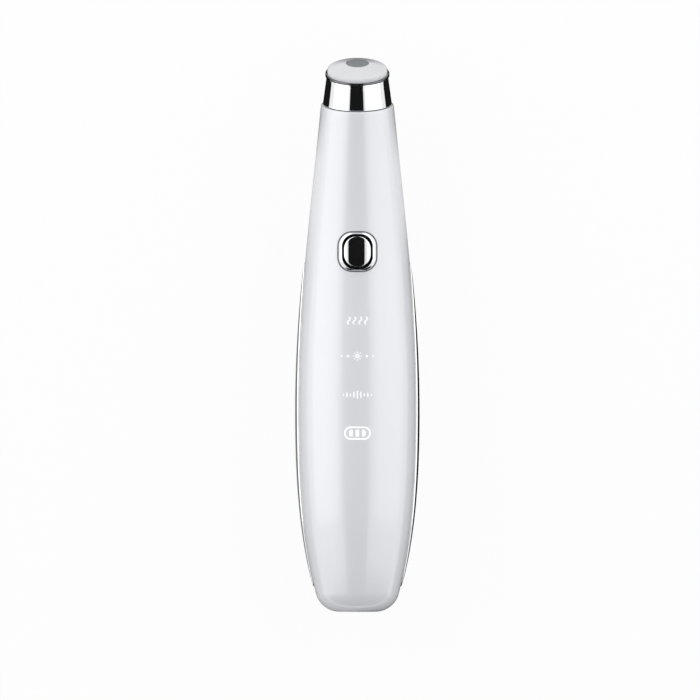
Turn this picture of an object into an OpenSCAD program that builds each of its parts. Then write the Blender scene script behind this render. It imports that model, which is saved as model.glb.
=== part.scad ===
// Heated eye massager wand, lying on its back.
// +Y runs from the end face to the massage head, +Z is the button side, and z = 0 is the rest flat.
// Each piece is built in the wand's own frame, whose Y axis is the straight part of the centreline
// with the end face at y = 0, and is then moved as a whole so that the origin is the middle of the footprint.

/* [Housing] */
// Length of the housing along its centreline, from the end face to the collar
body_len = 132.6; // [128:0.2:138]
// Distance from the end face to the widest point
belly_at = 53; // [50:1:56]
// Width across the housing at its widest point
belly_w = 31; // [30.6:0.2:33]
// Depth from front to back at the widest point
belly_d = 26.8; // [26.4:0.2:29]
// Diameter of the housing where it meets the collar
neck_d = 18.9; // [18.8:0.1:20]
// Slope of the sides where they meet the collar
neck_taper_w = 0.1; // [0.08:0.01:0.13]
// Slope of the front and back where they meet the collar
neck_taper_d = 0.05; // [0.03:0.01:0.07]
// Wall thickness of the two shells
wall = 1.8; // [1.6:0.1:2]
// Width of the flat end face
end_flat_w = 9.4; // [9:0.2:11]
// Depth of the flat end face
end_flat_d = 7.2; // [7:0.2:9]
// Radius that rounds the end of the housing
end_round = 6.3; // [5.8:0.1:6.8]
// Angle by which the sides still open where that rounding stops
end_flare = 14.2; // [13:0.1:17]
// Depth of the flat that the wand lies on
rest_flat = 0.6; // [0.5:0.05:0.7]

/* [Neck bend] */
// Distance from the end face at which the centreline starts to bend forwards
bend_from = 75; // [70:1:80]
// Angle by which the centreline leans forwards at the collar
neck_lean = 11.9; // [10:0.1:13]
// Angle by which the face of the massage head leans forwards
face_lean = 21.8; // [20:0.1:23]

/* [Side trim] */
// Distance from the end face to the lower tip of the trim
trim_from = 6.6; // [6:0.2:10]
// Distance from the end face to the upper tip of the trim
trim_to = 91; // [88:1:98]
// Widest part of the trim, measured front to back
trim_h = 4; // [3.4:0.2:4.6]
// Height by which the trim stands out of the housing
trim_proud = 0.92; // [0.7:0.02:1.1]
// Gap between the trim and the shells
trim_gap = 0.05; // [0.04:0.01:0.08]

/* [Massage head] */
// Length of the collar along its centreline
collar_len = 7.6; // [7.4:0.1:8.2]
// Diameter of the collar at the housing
collar_d = 18; // [17.8:0.1:18.2]
// Diameter of the collar at its top
collar_top_d = 16; // [15.9:0.1:16.2]
// Wall thickness of the collar
collar_wall = 0.9; // [0.8:0.05:0.95]
// Radius that rounds the collar's upper edge
collar_round = 0.5; // [0.4:0.1:0.6]
// Angle by which the top of the collar leans forwards
collar_lean = 17.5; // [17:0.1:18]
// Outer diameter of the rim ring
rim_d = 16.7; // [16.6:0.05:16.9]
// Height of the rim ring at its sides
rim_h = 0.95; // [0.9:0.05:1.2]
// Width of the rim ring's upper face
rim_w = 0.45; // [0.4:0.05:0.5]
// Height of the light ring's shoulder above the rim
shoulder_h = 1.15; // [1:0.05:1.3]
// Height of the light ring's crown above the rim
dome_h = 2.62; // [2.5:0.02:2.9]
// Thickness of the light ring's wall
dome_wall = 1; // [0.9:0.05:1.1]
// Diameter of the warm contact disc
contact_d = 5.9; // [5.6:0.1:6.2]
// Thickness of the contact disc above its flange
contact_t = 1.1; // [1.1:0.05:1.3]
// Gap between the contact disc and the light ring
contact_gap = 0.05; // [0.03:0.01:0.08]
// Thickness of the heater disc
heater_t = 1; // [0.8:0.1:1.2]
// Length of the carrier's plug in the neck
plug_l = 6; // [5.5:0.1:6.4]
// Thickness of the sealing ring between the plug and the collar
seal_d = 0.65; // [0.6:0.05:0.8]

/* [Button] */
// Distance from the end face to the middle of the button
button_at = 93.9; // [92:0.1:95]
// Width of the bezel
bezel_w = 10.5; // [10.3:0.1:10.8]
// Length of the bezel
bezel_l = 10.6; // [10.4:0.1:10.9]
// Corner radius of the bezel
bezel_r = 3.6; // [3.4:0.1:3.8]
// Height by which the bezel stands out of the housing
bezel_proud = 0.68; // [0.5:0.02:0.8]
// Depth of the bezel's seat below the surface of the housing
bezel_sunk = 1.5; // [1.4:0.05:1.6]
// Width of the button cap
cap_w = 7.8; // [7.6:0.1:7.9]
// Length of the button cap
cap_l = 8.7; // [8.5:0.1:8.8]
// Corner radius of the button cap
cap_r = 3; // [2.8:0.1:3.1]
// Radius of the button cap's crown across the wand
cap_crown_w = 8.4; // [7:0.2:9]
// Radius of the button cap's crown along the wand
cap_crown_l = 25; // [22:1:32]
// Height of the crown above the surface of the housing
cap_proud = 1; // [0.8:0.05:1.1]
// Gap around the button cap
cap_gap = 0.15; // [0.1:0.01:0.2]
// How far the button travels
press_travel = 0.4; // [0.3:0.05:0.5]

/* [Circuit board] */
// Thickness of the board
board_t = 1; // [0.8:0.1:1.2]
// Width of the board
board_w = 16; // [15:0.5:16.5]
// Width of the board's tab beside the charging socket
board_tab_w = 11; // [10:0.5:12]
// Distance from the end face to the near end of the board
board_from = 2.4; // [2.2:0.1:3]
// Distance from the end face to the far end of the board
board_to = 101; // [100.4:0.2:102]
// Height of the tact switch's body
switch_h = 3.4; // [3:0.1:3.8]
// Width of the tact switch's body
switch_w = 6; // [5.8:0.1:6.2]
// Height of the tact switch with its plunger
switch_total_h = 5; // [4.8:0.1:5.4]
// Diameter of the plunger
plunger_d = 3.4; // [3:0.1:3.5]

/* [Charging socket] */
// Outer width of the charging socket
socket_w = 7.5; // [7.4:0.05:7.6]
// Outer height of the charging socket
socket_h = 2.5; // [2.45:0.05:2.6]
// Length of the charging socket
socket_l = 5.6; // [5.4:0.1:6]
// Sheet thickness of the charging socket
socket_t = 0.3; // [0.25:0.01:0.32]
// Depth of the socket's mouth below the end face
socket_sunk = 0.5; // [0.3:0.05:0.8]

/* [Battery] */
// Diameter of the battery cell
cell_d = 10; // [9.6:0.1:10.2]
// Length of the battery cell
cell_l = 44; // [42:0.5:45]
// Distance from the end face to the near end of the cell
cell_from = 22; // [21:0.5:24]

/* [Indicators] */
// Distance from the end face to the battery gauge
gauge_at = 46.6; // [46:0.1:47]
// Distance from one indicator to the next
mark_pitch = 9.75; // [9.6:0.05:9.9]
// Width of the light baffle
baffle_w = 10; // [9.6:0.2:10.6]

/* [Vibration motor] */
// Diameter of the motor's case
motor_d = 8; // [7.5:0.1:8.4]
// Length of the motor's case
motor_l = 16; // [15:0.5:17]
// Distance from the end face to the middle of the motor
motor_at = 112; // [111:0.2:113]
// Wall of the motor's rubber sleeve
sleeve_t = 1; // [0.8:0.1:1.2]
// Diameter of the eccentric weight
weight_d = 9; // [8.6:0.1:9.4]
// Length of the eccentric weight
weight_l = 5; // [4.5:0.1:5]
// Diameter of the motor's shaft
shaft_d = 1.5; // [1.4:0.1:1.8]
// Radial clearance of the shaft in the motor
shaft_gap = 0.05; // [0.03:0.01:0.08]
// Diameter of the insulated leads
lead_d = 0.7; // [0.6:0.05:0.75]

/* [Hidden] */
$fn = 48;
joint_gap = 0.05;
past = 1;

// Rings of the housing's skin: over the rounded end, along the flanks, and round a half section
corner_steps = 5;
flank_steps = 32;
half_steps = 20;
stations = corner_steps + flank_steps;

// Where the rounded end runs into the flanks
join_s = end_round * (1 - sin(end_flare));
join_w = end_flat_w / 2 + end_round * cos(end_flare);
join_d = end_flat_d / 2 + end_round * cos(end_flare);

bend_r = (body_len - bend_from) / (neck_lean * PI / 180);
collar_bend = collar_len / ((collar_lean - neck_lean) * PI / 180);
axis_z = belly_d / 2 - rest_flat;

// Cubic from v0 to v1 over the span, with slope g0 at its start and g1 at its end
function cubic(t, span, v0, v1, g0, g1) =
    v0 * (2 * t ^ 3 - 3 * t ^ 2 + 1) + v1 * (3 * t ^ 2 - 2 * t ^ 3)
    + span * (g0 * (t ^ 3 - 2 * t ^ 2 + t) + g1 * (t ^ 3 - t ^ 2));
function flank(s, start, belly, taper) =
    s < belly_at
    ? cubic((s - join_s) / (belly_at - join_s), belly_at - join_s, start, belly / 2, tan(end_flare), 0)
    : cubic((s - belly_at) / (body_len - belly_at), body_len - belly_at, belly / 2, neck_d / 2, 0, -taper);
function rounded_end(s, flat) = flat / 2 + sqrt(end_round ^ 2 - (end_round - s) ^ 2);
// Half of the width, and of the depth, at a distance s along the centreline
function half_w(s) = s < join_s ? rounded_end(s, end_flat_w) : flank(s, join_w, belly_w, neck_taper_w);
function half_d(s) = s < join_s ? rounded_end(s, end_flat_d) : flank(s, join_d, belly_d, neck_taper_d);

// The centreline: straight, then an arc that leans forwards
function lean(s) = s < bend_from ? 0 : (s - bend_from) / bend_r * 180 / PI;
function spine(s) = s < bend_from
    ? [0, s, 0]
    : [0, bend_from + bend_r * sin(lean(s)), bend_r * (1 - cos(lean(s)))];
// A point of the cross-section at s: x across the wand, z towards its front
function on_section(s, x, z) = spine(s) + [x, -z * sin(lean(s)), z * cos(lean(s))];

// The centreline of the collar: an arc from the housing's lean to the lean of the collar's top
function head_lean(u) = neck_lean + (collar_lean - neck_lean) * u / collar_len;
function head_spine(u) = spine(body_len)
    + collar_bend * [0, sin(head_lean(u)) - sin(neck_lean), cos(neck_lean) - cos(head_lean(u))];

// The middle of the rim's upper face, which leans further than the collar does
rim_mid = (collar_lean + face_lean) / 2;
face_at = head_spine(collar_len) + rim_h * [0, cos(rim_mid), sin(rim_mid)];
// A point above that face: x across, f towards the front, h away from the housing
function face_point(x, f, h) =
    face_at + [x, h * cos(face_lean) - f * sin(face_lean), h * sin(face_lean) + f * cos(face_lean)];

// The light ring's outer curve over a shoulder and up to the contact disc, each point [radius, height]
contact_top = dome_h + 0.04;
ring_r = rim_d / 2 - rim_w - joint_gap;
ring_inner_r = contact_d / 2 + contact_gap;
shoulder_in = 1.25;
crown_from = [ring_r - shoulder_in, shoulder_h + 0.4];
crown_mid = [(crown_from[0] + ring_inner_r) / 2, (crown_from[1] + dome_h) / 2 + 0.12];
function dome_curve(inset) =
    let (down = [0, -inset], edge = [ring_r - inset, 0], corner = [ring_r - inset - 0.05, shoulder_h - inset])
    concat(
        [for (i = [0:8]) bezier(edge, corner, crown_from + down, i / 8)],
        [for (i = [1:6]) bezier(crown_from + down, crown_mid + down, [ring_inner_r, dome_h - inset], i / 6)]
    );
total_len = max([for (p = dome_curve(0)) face_point(0, -p[0], p[1])[1]]);

// The front surface above a point [x, y]: its station on the centreline, then its height
function front_station(y, s) = y + half_d(s) * sin(lean(s)) + s - spine(s)[1];
function station_above(y) = front_station(y, front_station(y, front_station(y, y)));
function front_z(x, y, inset = 0) =
    let (s = station_above(y), w = half_w(s) - inset, d = half_d(s) - inset)
    on_section(s, x, d * sqrt(1 - (x / w) ^ 2))[2];

// Half of the trim's height along its leaf shape, and how far its crown stands out
function leaf(s) = s <= trim_from || s >= trim_to ? 0 : sin(180 * (s - trim_from) / (trim_to - trim_from));
function trim_half(s) = trim_h / 2 * leaf(s) ^ 0.6;
function trim_crown(s) = trim_proud * leaf(s) ^ 0.25;

function lerp(a, b, t) = a + (b - a) * t;
function bezier(a, b, c, t) = (1 - t) ^ 2 * a + 2 * t * (1 - t) * b + t ^ 2 * c;
function reversed(list) = [for (i = [len(list) - 1:-1:0]) list[i]];

// Two triangles for each cell of a grid of points that is rows by cols, its first point being at
function cells(rows, cols, at, flip = false) = [
    for (i = [0:rows - 2], j = [0:cols - 2])
        let (a = at + i * cols + j, b = a + 1, c = a + cols + 1, d = a + cols)
        each flip ? [[a, c, b], [a, d, c]] : [[a, b, c], [a, c, d]]
];
// The same for rings that close on themselves
function bands(rows, cols, at, flip = false) = [
    for (i = [0:rows - 2], j = [0:cols - 1])
        let (a = at + i * cols + j, b = at + i * cols + (j + 1) % cols, c = b + cols, d = a + cols)
        each flip ? [[a, c, b], [a, d, c]] : [[a, b, c], [a, c, d]]
];

// A rounded rectangle as a loop of points
function rounded_loop(w, l, r, steps = 8) = [
    for (q = [0:3], i = [0:steps])
        let (a = 90 * (q + i / steps), sx = (q == 0 || q == 3) ? 1 : -1, sy = q < 2 ? 1 : -1)
        [sx * (w / 2 - r) + r * cos(a), sy * (l / 2 - r) + r * sin(a)]
];

module in_place() {
    translate([0, -total_len / 2, axis_z]) children();
}

// Frames: +Z towards the head and -Y towards the front
module at_collar(z = 0) {
    translate(spine(body_len)) rotate([neck_lean - 90, 0, 0]) translate([0, 0, z]) children();
}
module at_collar_top(z = 0) {
    translate(head_spine(collar_len)) rotate([collar_lean - 90, 0, 0]) translate([0, 0, z]) children();
}
module at_face(z = 0) {
    translate(face_at) rotate([face_lean - 90, 0, 0]) translate([0, 0, z]) children();
}
module at_station(s) {
    translate(spine(s)) rotate([lean(s) - 90, 0, 0]) children();
}
module at_button(z = 0) {
    translate([0, button_at, front_z(0, button_at) + z]) children();
}

// A rounded rectangle with true arcs at its corners
module rounded_rect(w, l, r) {
    square([w, l - 2 * r], center = true);
    square([w - 2 * r, l], center = true);
    for (x = [-1, 1], y = [-1, 1]) translate([x * (w / 2 - r), y * (l / 2 - r)]) circle(r);
}

module tube_ring(outer, inner, h) {
    difference() {
        cylinder(r = outer, h = h);
        translate([0, 0, -past]) cylinder(r = inner, h = h + 2 * past);
    }
}

// A tube along a list of points
module wire(path, d, sides = 6) {
    n = len(path);
    function ahead(i) = let (v = path[min(i + 1, n - 1)] - path[max(i - 1, 0)]) v / norm(v);
    function ring(i) =
        let (t = ahead(i), u0 = cross(t, [1, 0.3, 0.2]), u = u0 / norm(u0), v = cross(t, u))
        [for (j = [0:sides - 1]) path[i] + d / 2 * (u * cos(360 * j / sides) + v * sin(360 * j / sides))];
    polyhedron(
        [for (i = [0:n - 1]) each ring(i)],
        concat(
            bands(n, sides, 0, true),
            [[for (j = [0:sides - 1]) j], [for (j = [sides - 1:-1:0]) (n - 1) * sides + j]]
        )
    );
}

// ---- Housing shells ----

corner_angle = function (k) 90 - (90 - end_flare) * k / corner_steps;
// Station, half-width and half-depth of ring k of a skin that lies inset below the surface
function ring_s(k, inset) =
    let (start = end_round - (end_round - inset) * sin(end_flare))
    k <= corner_steps
    ? end_round - (end_round - inset) * sin(corner_angle(k))
    : lerp(start, body_len, (k - corner_steps) / flank_steps);
function ring_w(k, inset) = k <= corner_steps
    ? end_flat_w / 2 + (end_round - inset) * cos(corner_angle(k))
    : half_w(ring_s(k, inset)) - inset;
function ring_d(k, inset) = k <= corner_steps
    ? end_flat_d / 2 + (end_round - inset) * cos(corner_angle(k))
    : half_d(ring_s(k, inset)) - inset;
// Half a section as points from one parting edge over to the other
function half_ring(k, inset, side) =
    let (
        s = ring_s(k, inset), w = ring_w(k, inset), d = ring_d(k, inset),
        from = asin(trim_half(s) / d)
    )
    [
        for (j = [0:half_steps])
            let (a = lerp(from, 180 - from, j / half_steps))
            on_section(s, w * cos(a), side * d * sin(a))
    ];

// The moulded skin of one half of the housing: side is 1 for the front and -1 for the rear
module half_skin(side) {
    cols = half_steps + 1;
    rows = stations + 1;
    inner = rows * cols;
    last = (rows - 1) * cols;
    function turned(list) = side < 0 ? [for (f = list) reversed(f)] : list;
    edge = function (j) [
        for (i = [0:rows - 2])
            let (a = i * cols + j, b = a + cols)
            each j == 0
            ? [[a, b, b + inner], [a, b + inner, a + inner]]
            : [[a, b + inner, b], [a, a + inner, b + inner]]
    ];
    mouth = [
        for (j = [0:cols - 2])
            let (a = last + j, b = a + 1)
            each [[a, b, b + inner], [a, b + inner, a + inner]]
    ];
    end_faces = [
        [for (j = [cols - 1:-1:0]) j],
        [for (j = [0:cols - 1]) inner + j],
        [0, inner, inner + cols - 1, cols - 1]
    ];
    polyhedron(
        concat(
            [for (k = [0:stations]) each half_ring(k, 0, side)],
            [for (k = [0:stations]) each half_ring(k, wall, side)]
        ),
        turned(concat(
            cells(rows, cols, 0), cells(rows, cols, inner, true), edge(0), edge(cols - 1), mouth, end_faces
        ))
    );
}

// Half of a cross-section wall at station s, fused into the skin at mid-wall, with a round seat cut in it.
// Its straight edge lies at a distance stop from the parting plane.
module section_rib(s, side, t, seat_r, seat_z, stop) {
    w = half_w(s) - wall / 2;
    d = half_d(s) - wall / 2;
    from = asin(stop / d);
    at_station(s) translate([0, 0, -t / 2]) linear_extrude(t) difference() {
        polygon([
            for (j = [0:half_steps])
                let (a = lerp(from, 180 - from, j / half_steps))
                [w * cos(a), -side * d * sin(a)]
        ]);
        translate([0, -seat_z]) circle(seat_r);
    }
}

sleeve_r = motor_d / 2 + sleeve_t;
motor_rib_t = 1.4;
motor_rib_offset = 4;
lead_pass = 1.3;
module motor_seat(side) {
    for (s = [motor_at - motor_rib_offset, motor_at + motor_rib_offset])
        section_rib(s, side, motor_rib_t, sleeve_r + joint_gap, 0, lead_pass);
}

// The round seat in the neck for the plug of the head carrier, half of it in each shell
plug_r = collar_d / 2 - collar_wall - seal_d - 3 * joint_gap;
neck_bore_r = plug_r + joint_gap;
parting_gap = 0.08;
module neck_seat(side) {
    at_collar(-plug_l) intersection() {
        tube_ring(neck_d / 2 - wall / 2, neck_bore_r, plug_l);
        translate([-neck_d, side > 0 ? -neck_d - parting_gap : parting_gap, -past])
            cube([2 * neck_d, neck_d, plug_l + 2 * past]);
    }
}

// The outline of the charging socket, with its two lower corners cut off
port_gap = 0.2;
port_corner = 0.8;
module port_outline(grow = 0) {
    w = socket_w / 2 + grow;
    h = socket_h / 2 + grow;
    cut = port_corner;
    polygon([[-w, h], [w, h], [w, cut - h], [w - cut, -h], [cut - w, -h], [-w, cut - h]]);
}
module port_cut() {
    translate([0, -past, 0]) rotate([-90, 0, 0]) linear_extrude(wall + 2 * past) port_outline(port_gap);
}

seat_z = -bezel_sunk;
pad_t = 1.3;
pad_side = 1.2;
flange_w = cap_w + 1.2;
flange_l = cap_l + 0.6;
flange_t = 0.8;
flange_r = cap_r + 0.5;
module button_window() {
    at_button(seat_z) linear_extrude(bezel_sunk + 2 * past)
        rounded_rect(bezel_w + 2 * joint_gap, bezel_l + 2 * joint_gap, bezel_r + joint_gap);
    at_button(seat_z - pad_t - 2 * past) linear_extrude(pad_t + 3 * past)
        rounded_rect(flange_w + 2 * cap_gap, flange_l + 2 * cap_gap, flange_r);
}
module button_pad() {
    at_button(seat_z - pad_t) linear_extrude(pad_t)
        rounded_rect(bezel_w + 2 * pad_side, bezel_l + 2 * pad_side, bezel_r + pad_side);
}

// Posts for the board stand on the inside of the front shell, each [x, distance from the end face]
board_z = socket_h / 2;
board_top = board_z + board_t;
post_r = 2.1;
pilot_r = 0.8;
pilot_depth = 5;
post_x = board_w / 2 - 2.4;
post_at = [[0, board_from + 11.6], [-post_x, button_at - 9.4], [post_x, button_at - 9.4]];
module board_posts() {
    for (p = post_at)
        translate([p[0], p[1], board_top])
            cylinder(r = post_r, h = front_z(abs(p[0]) + post_r * 0.7, p[1], wall / 2) - board_top);
}
module pilot_holes() {
    for (p = post_at) translate([p[0], p[1], board_top - past]) cylinder(r = pilot_r, h = past + pilot_depth);
}

module front_shell() {
    color("whitesmoke") in_place() difference() {
        union() {
            half_skin(1);
            button_pad();
            board_posts();
            motor_seat(1);
            neck_seat(1);
        }
        button_window();
        pilot_holes();
        port_cut();
    }
}

cell_r = cell_d / 2;
pad_gap = 1.85;
cell_z = board_z - pad_gap - cell_r;
cell_rib_t = 1.6;
cell_rib_over = 1;
cell_ribs = [for (i = [0.12, 0.5, 0.88]) cell_from + cell_l * i];
module rear_shell() {
    color("whitesmoke") in_place() difference() {
        union() {
            half_skin(-1);
            for (s = cell_ribs)
                section_rib(s, -1, cell_rib_t, cell_r + joint_gap, cell_z, -cell_z - cell_rib_over);
            motor_seat(-1);
            neck_seat(-1);
        }
        port_cut();
        translate([-belly_w, -past, -axis_z - 10]) cube([2 * belly_w, body_len, 10]);
    }
}

// ---- Side trims ----

trim_bead = 6;
// The rings of the housing between which the trim lies, so that its edges follow those of the shells
trim_rings = [for (k = [0:stations]) if (trim_half(ring_s(k, 0)) > 0) k];
// One bowed strip between the two shells: side is 1 for the right and -1 for the left
module side_trim(side) {
    cols = trim_bead + 3;
    rows = len(trim_rings) + 2;
    // The bead's outer curve over ring k, and the strip's inner edge
    function ring(k) =
        let (s = ring_s(k, 0), h = trim_half(s) - trim_gap, w = ring_w(k, 0), d = ring_d(k, 0))
        concat(
            [
                for (j = [0:trim_bead])
                    let (a = 180 * j / trim_bead, z = h * cos(a))
                    on_section(s, side * (w * sqrt(1 - (z / d) ^ 2) + trim_crown(s) * sin(a)), z)
            ],
            [on_section(s, side * (w - wall), -h), on_section(s, side * (w - wall), h)]
        );
    // The tip lies where the slot between the shells has narrowed to three gaps
    function tip(k, beyond) =
        lerp(ring(beyond), ring(k), 1.5 * trim_gap / trim_half(ring_s(k, 0)));
    first = trim_rings[0];
    last = trim_rings[len(trim_rings) - 1];
    end_faces = [[for (j = [cols - 1:-1:0]) j], [for (j = [0:cols - 1]) (rows - 1) * cols + j]];
    in_place() polyhedron(
        concat(
            tip(first, first - 1),
            [for (k = trim_rings) each ring(k)],
            tip(last, last + 1)
        ),
        concat(
            bands(rows, cols, 0, side < 0),
            side > 0 ? end_faces : [for (f = end_faces) reversed(f)]
        )
    );
}
module side_trim_right() {
    color("silver") side_trim(1);
}
module side_trim_left() {
    color("silver") side_trim(-1);
}

// ---- Massage head ----

collar_sides = 56;
collar_rows = 4;
round_rows = 4;
// The collar's wall as rings on its bent centreline, each [distance along it, radius]
module head_collar() {
    straight = collar_len - collar_round;
    function side_r(u) = lerp(collar_d / 2, collar_top_d / 2, u / collar_len);
    rings = concat(
        [for (i = [0:collar_rows]) let (u = straight * i / collar_rows) [u, side_r(u)]],
        [
            for (i = [1:round_rows])
                let (a = 90 * i / round_rows)
                [straight + collar_round * sin(a), side_r(straight) - collar_round * (1 - cos(a))]
        ],
        [[collar_len, collar_top_d / 2 - collar_wall], [0, collar_d / 2 - collar_wall]]
    );
    function ring(p) = [
        for (j = [0:collar_sides - 1])
            let (a = 360 * j / collar_sides, l = head_lean(p[0]))
            head_spine(p[0]) + p[1] * [cos(a), -sin(a) * sin(l), sin(a) * cos(l)]
    ];
    color("silver") in_place() polyhedron(
        [for (p = concat(rings, [rings[0]])) each ring(p)],
        bands(len(rings) + 1, collar_sides, 0)
    );
}

// The rim is a wedge between the collar's top and the face of the head
module head_rim() {
    r = rim_d / 2;
    edge = 0.3;
    deep = 2 * rim_h;
    color("silver") in_place() difference() {
        at_face() rotate_extrude() polygon(concat(
            [[r - rim_w, 0], [r - rim_w, -deep], [r, -deep]],
            [for (a = [0:15:90]) [r - edge * (1 - cos(a)), edge * (sin(a) - 1)]]
        ));
        at_collar_top(joint_gap - 10) cylinder(r = rim_d, h = 10);
    }
}

ring_foot = 0.2;
module light_ring() {
    color("white") in_place() at_face() rotate_extrude() polygon(concat(
        [[ring_r - dome_wall, -ring_foot], [ring_r, -ring_foot]],
        dome_curve(0),
        reversed(dome_curve(dome_wall))
    ));
}

contact_low = contact_top - contact_t - 0.05;
contact_flange_t = 0.25;
contact_bottom = contact_low - contact_flange_t;
module heat_contact() {
    r = contact_d / 2;
    color("dimgray") in_place() at_face() rotate_extrude() polygon([
        [0, contact_bottom], [r + 0.5, contact_bottom], [r + 0.5, contact_low],
        [r, contact_low], [r, contact_top - 0.12], [r - 0.12, contact_top], [0, contact_top]
    ]);
}

heater_r = contact_d / 2 - 0.35;
heater_bottom = contact_bottom - heater_t;
module heater_disc() {
    color("tan") in_place() at_face(heater_bottom) cylinder(r = heater_r, h = heater_t);
}

bead_r = 0.4;
module thermistor() {
    color("black") in_place() at_face(heater_bottom - bead_r) intersection() {
        sphere(r = bead_r, $fn = 24);
        cylinder(r = 2 * bead_r, h = 2 * bead_r, center = true);
    }
}

led_board_t = 0.8;
led_board_low = -1.35;
carrier_gap = 0.35;
carrier_r = collar_top_d / 2 - collar_wall - carrier_gap;
led_board_r = carrier_r - 0.7;
carrier_wall = 1.6;
carrier_bore_r = plug_r - carrier_wall;
carrier_floor = 1;
cup_lift = 0.2;
cup_low = cup_lift - collar_len - rim_h;
cup_h = led_board_low - carrier_floor - cup_low + past;
carrier_flange_gap = 0.3;
carrier_flange_r = collar_d / 2 - collar_wall - carrier_flange_gap;
cup_low_r = carrier_flange_r + cup_low * sin(face_lean - (neck_lean + collar_lean) / 2);
seal_r = seal_d / 2;
flange_low = seal_d + joint_gap;
flange_high = flange_low + 1;
post_bore_r = 1.3;
led_lead_r = 4.2;
module head_carrier() {
    color("gainsboro") in_place() difference() {
        union() {
            at_collar(-plug_l) cylinder(r = plug_r, h = plug_l + flange_high);
            at_collar(flange_low) cylinder(r = carrier_flange_r, h = flange_high - flange_low);
            at_face(cup_low) cylinder(r1 = cup_low_r, r2 = carrier_r, h = -ring_foot - cup_low);
            at_face(led_board_low) cylinder(r = heater_r, h = heater_bottom - led_board_low);
        }
        at_face(led_board_low) tube_ring(led_board_r + joint_gap, heater_r, collar_len);
        at_collar(-plug_l - past) cylinder(r = carrier_bore_r, h = plug_l + past + flange_high);
        at_face(cup_low - past) cylinder(r = carrier_bore_r, h = cup_h);
        at_face(led_board_low - 2 * carrier_floor) cylinder(r = post_bore_r, h = collar_len);
        for (x = [-1, 1]) at_face(led_board_low - 2 * carrier_floor)
            translate([x * led_lead_r, 0, 0]) cylinder(r = lead_d / 2 + 0.15, h = 2 * carrier_floor + past);
    }
}

module head_seal() {
    color("black") in_place() at_collar(seal_r) rotate_extrude()
        translate([plug_r + joint_gap + seal_r, 0]) circle(seal_r, $fn = 24);
}

module head_led_board() {
    color("darkgreen") in_place() at_face(led_board_low)
        tube_ring(led_board_r, heater_r + joint_gap, led_board_t);
}

head_led_count = 6;
head_led = [1.1, 1.5, 0.6];
module head_leds() {
    color("gold") in_place() at_face(led_board_low + led_board_t)
        for (i = [0:head_led_count - 1])
            rotate(360 * (i + 0.5) / head_led_count)
                translate([(led_board_r + heater_r - head_led[0]) / 2, -head_led[1] / 2, 0]) cube(head_led);
}

// ---- Button and switch ----

// A point of the button's surface: h above the skin of the housing at [x, y]
function on_button(p, h) = [p[0], p[1] + button_at, front_z(p[0], p[1] + button_at) + h];
function button_seat(p, z) = [p[0], p[1] + button_at, front_z(0, button_at) + z];

bezel_inner = [cap_w + 2 * cap_gap, cap_l + 2 * cap_gap, cap_r + cap_gap];
bezel_width = (bezel_w - bezel_inner[0]) / 2;
// The bezel's rounded cross-section, each ring [share of the way in, share of the height]
bezel_profile = [
    [0, 0], [0.03, 0.45], [0.12, 0.78], [0.3, 0.97], [0.5, 1], [0.72, 0.9], [0.9, 0.66], [1, 0.3]
];
corner_points = 7;
module button_bezel() {
    function loop(t) = let (size = lerp([bezel_w, bezel_l, bezel_r], bezel_inner, t))
        rounded_loop(size[0], size[1], size[2], corner_points);
    sides = 4 * (corner_points + 1);
    rings = concat(
        [[for (p = loop(0)) button_seat(p, seat_z)]],
        [for (q = bezel_profile) [for (p = loop(q[0])) on_button(p, q[1] * bezel_proud)]],
        [[for (p = loop(1)) button_seat(p, seat_z)]]
    );
    color("silver") in_place() polyhedron(
        [for (ring = concat(rings, [rings[0]])) each ring],
        bands(len(rings) + 1, sides, 0)
    );
}

cap_edge = 0.4;
stem_r = 1.8;
cap_shell_t = 1.1;
cap_hollow = 0.6;
flange_top = seat_z - joint_gap;
function crown(x, r) = r - sqrt(r ^ 2 - x ^ 2);
function cap_z(p) = cap_proud - crown(p[0], cap_crown_w) - crown(p[1], cap_crown_l);
module button_cap() {
    stem_low = board_top + switch_total_h + joint_gap;
    outline = rounded_loop(cap_w, cap_l, cap_r, corner_points);
    sides = len(outline);
    shares = [0.3, 0.6, 0.82];
    function level(k, drop) = [for (p = outline) button_seat(k * p, cap_z(k * p) - drop)];
    rings = concat(
        [for (k = shares) level(k, 0)],
        [for (a = [0:30:90]) level(1 - cap_edge / (cap_w / 2) * (1 - sin(a)), cap_edge * (1 - cos(a)))],
        [[for (p = outline) button_seat(p, flange_top - flange_t / 2)]]
    );
    top = len(rings) * sides;
    color("silver") in_place() {
        difference() {
            union() {
                polyhedron(
                    concat([for (r = rings) each r], [button_seat([0, 0], cap_z([0, 0]))]),
                    concat(
                        bands(len(rings), sides, 0, true),
                        [for (j = [0:sides - 1]) [top, (j + 1) % sides, j]],
                        [[for (j = [0:sides - 1]) top - sides + j]]
                    )
                );
                at_button(flange_top - flange_t) linear_extrude(flange_t)
                    rounded_rect(flange_w, flange_l, flange_r);
            }
            at_button(flange_top - flange_t - past) linear_extrude(flange_t + past + cap_hollow)
                rounded_rect(cap_w - 2 * cap_shell_t, cap_l - 2 * cap_shell_t, cap_r - cap_shell_t);
        }
        translate([0, button_at, stem_low])
            cylinder(r = stem_r, h = front_z(0, button_at) + flange_top + cap_hollow + joint_gap - stem_low);
    }
}

plunger_low = board_top + 1.2;
module switch_body() {
    color("dimgray") in_place() difference() {
        translate([-switch_w / 2, button_at - switch_w / 2, board_top]) cube([switch_w, switch_w, switch_h]);
        translate([0, button_at, plunger_low - press_travel - joint_gap])
            cylinder(r = plunger_d / 2 + shaft_gap, h = switch_h);
    }
}
module switch_plunger() {
    color("black") in_place() translate([0, button_at, plunger_low])
        cylinder(r = plunger_d / 2, h = board_top + switch_total_h - plunger_low);
}

// ---- Circuit board and its parts ----

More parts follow.
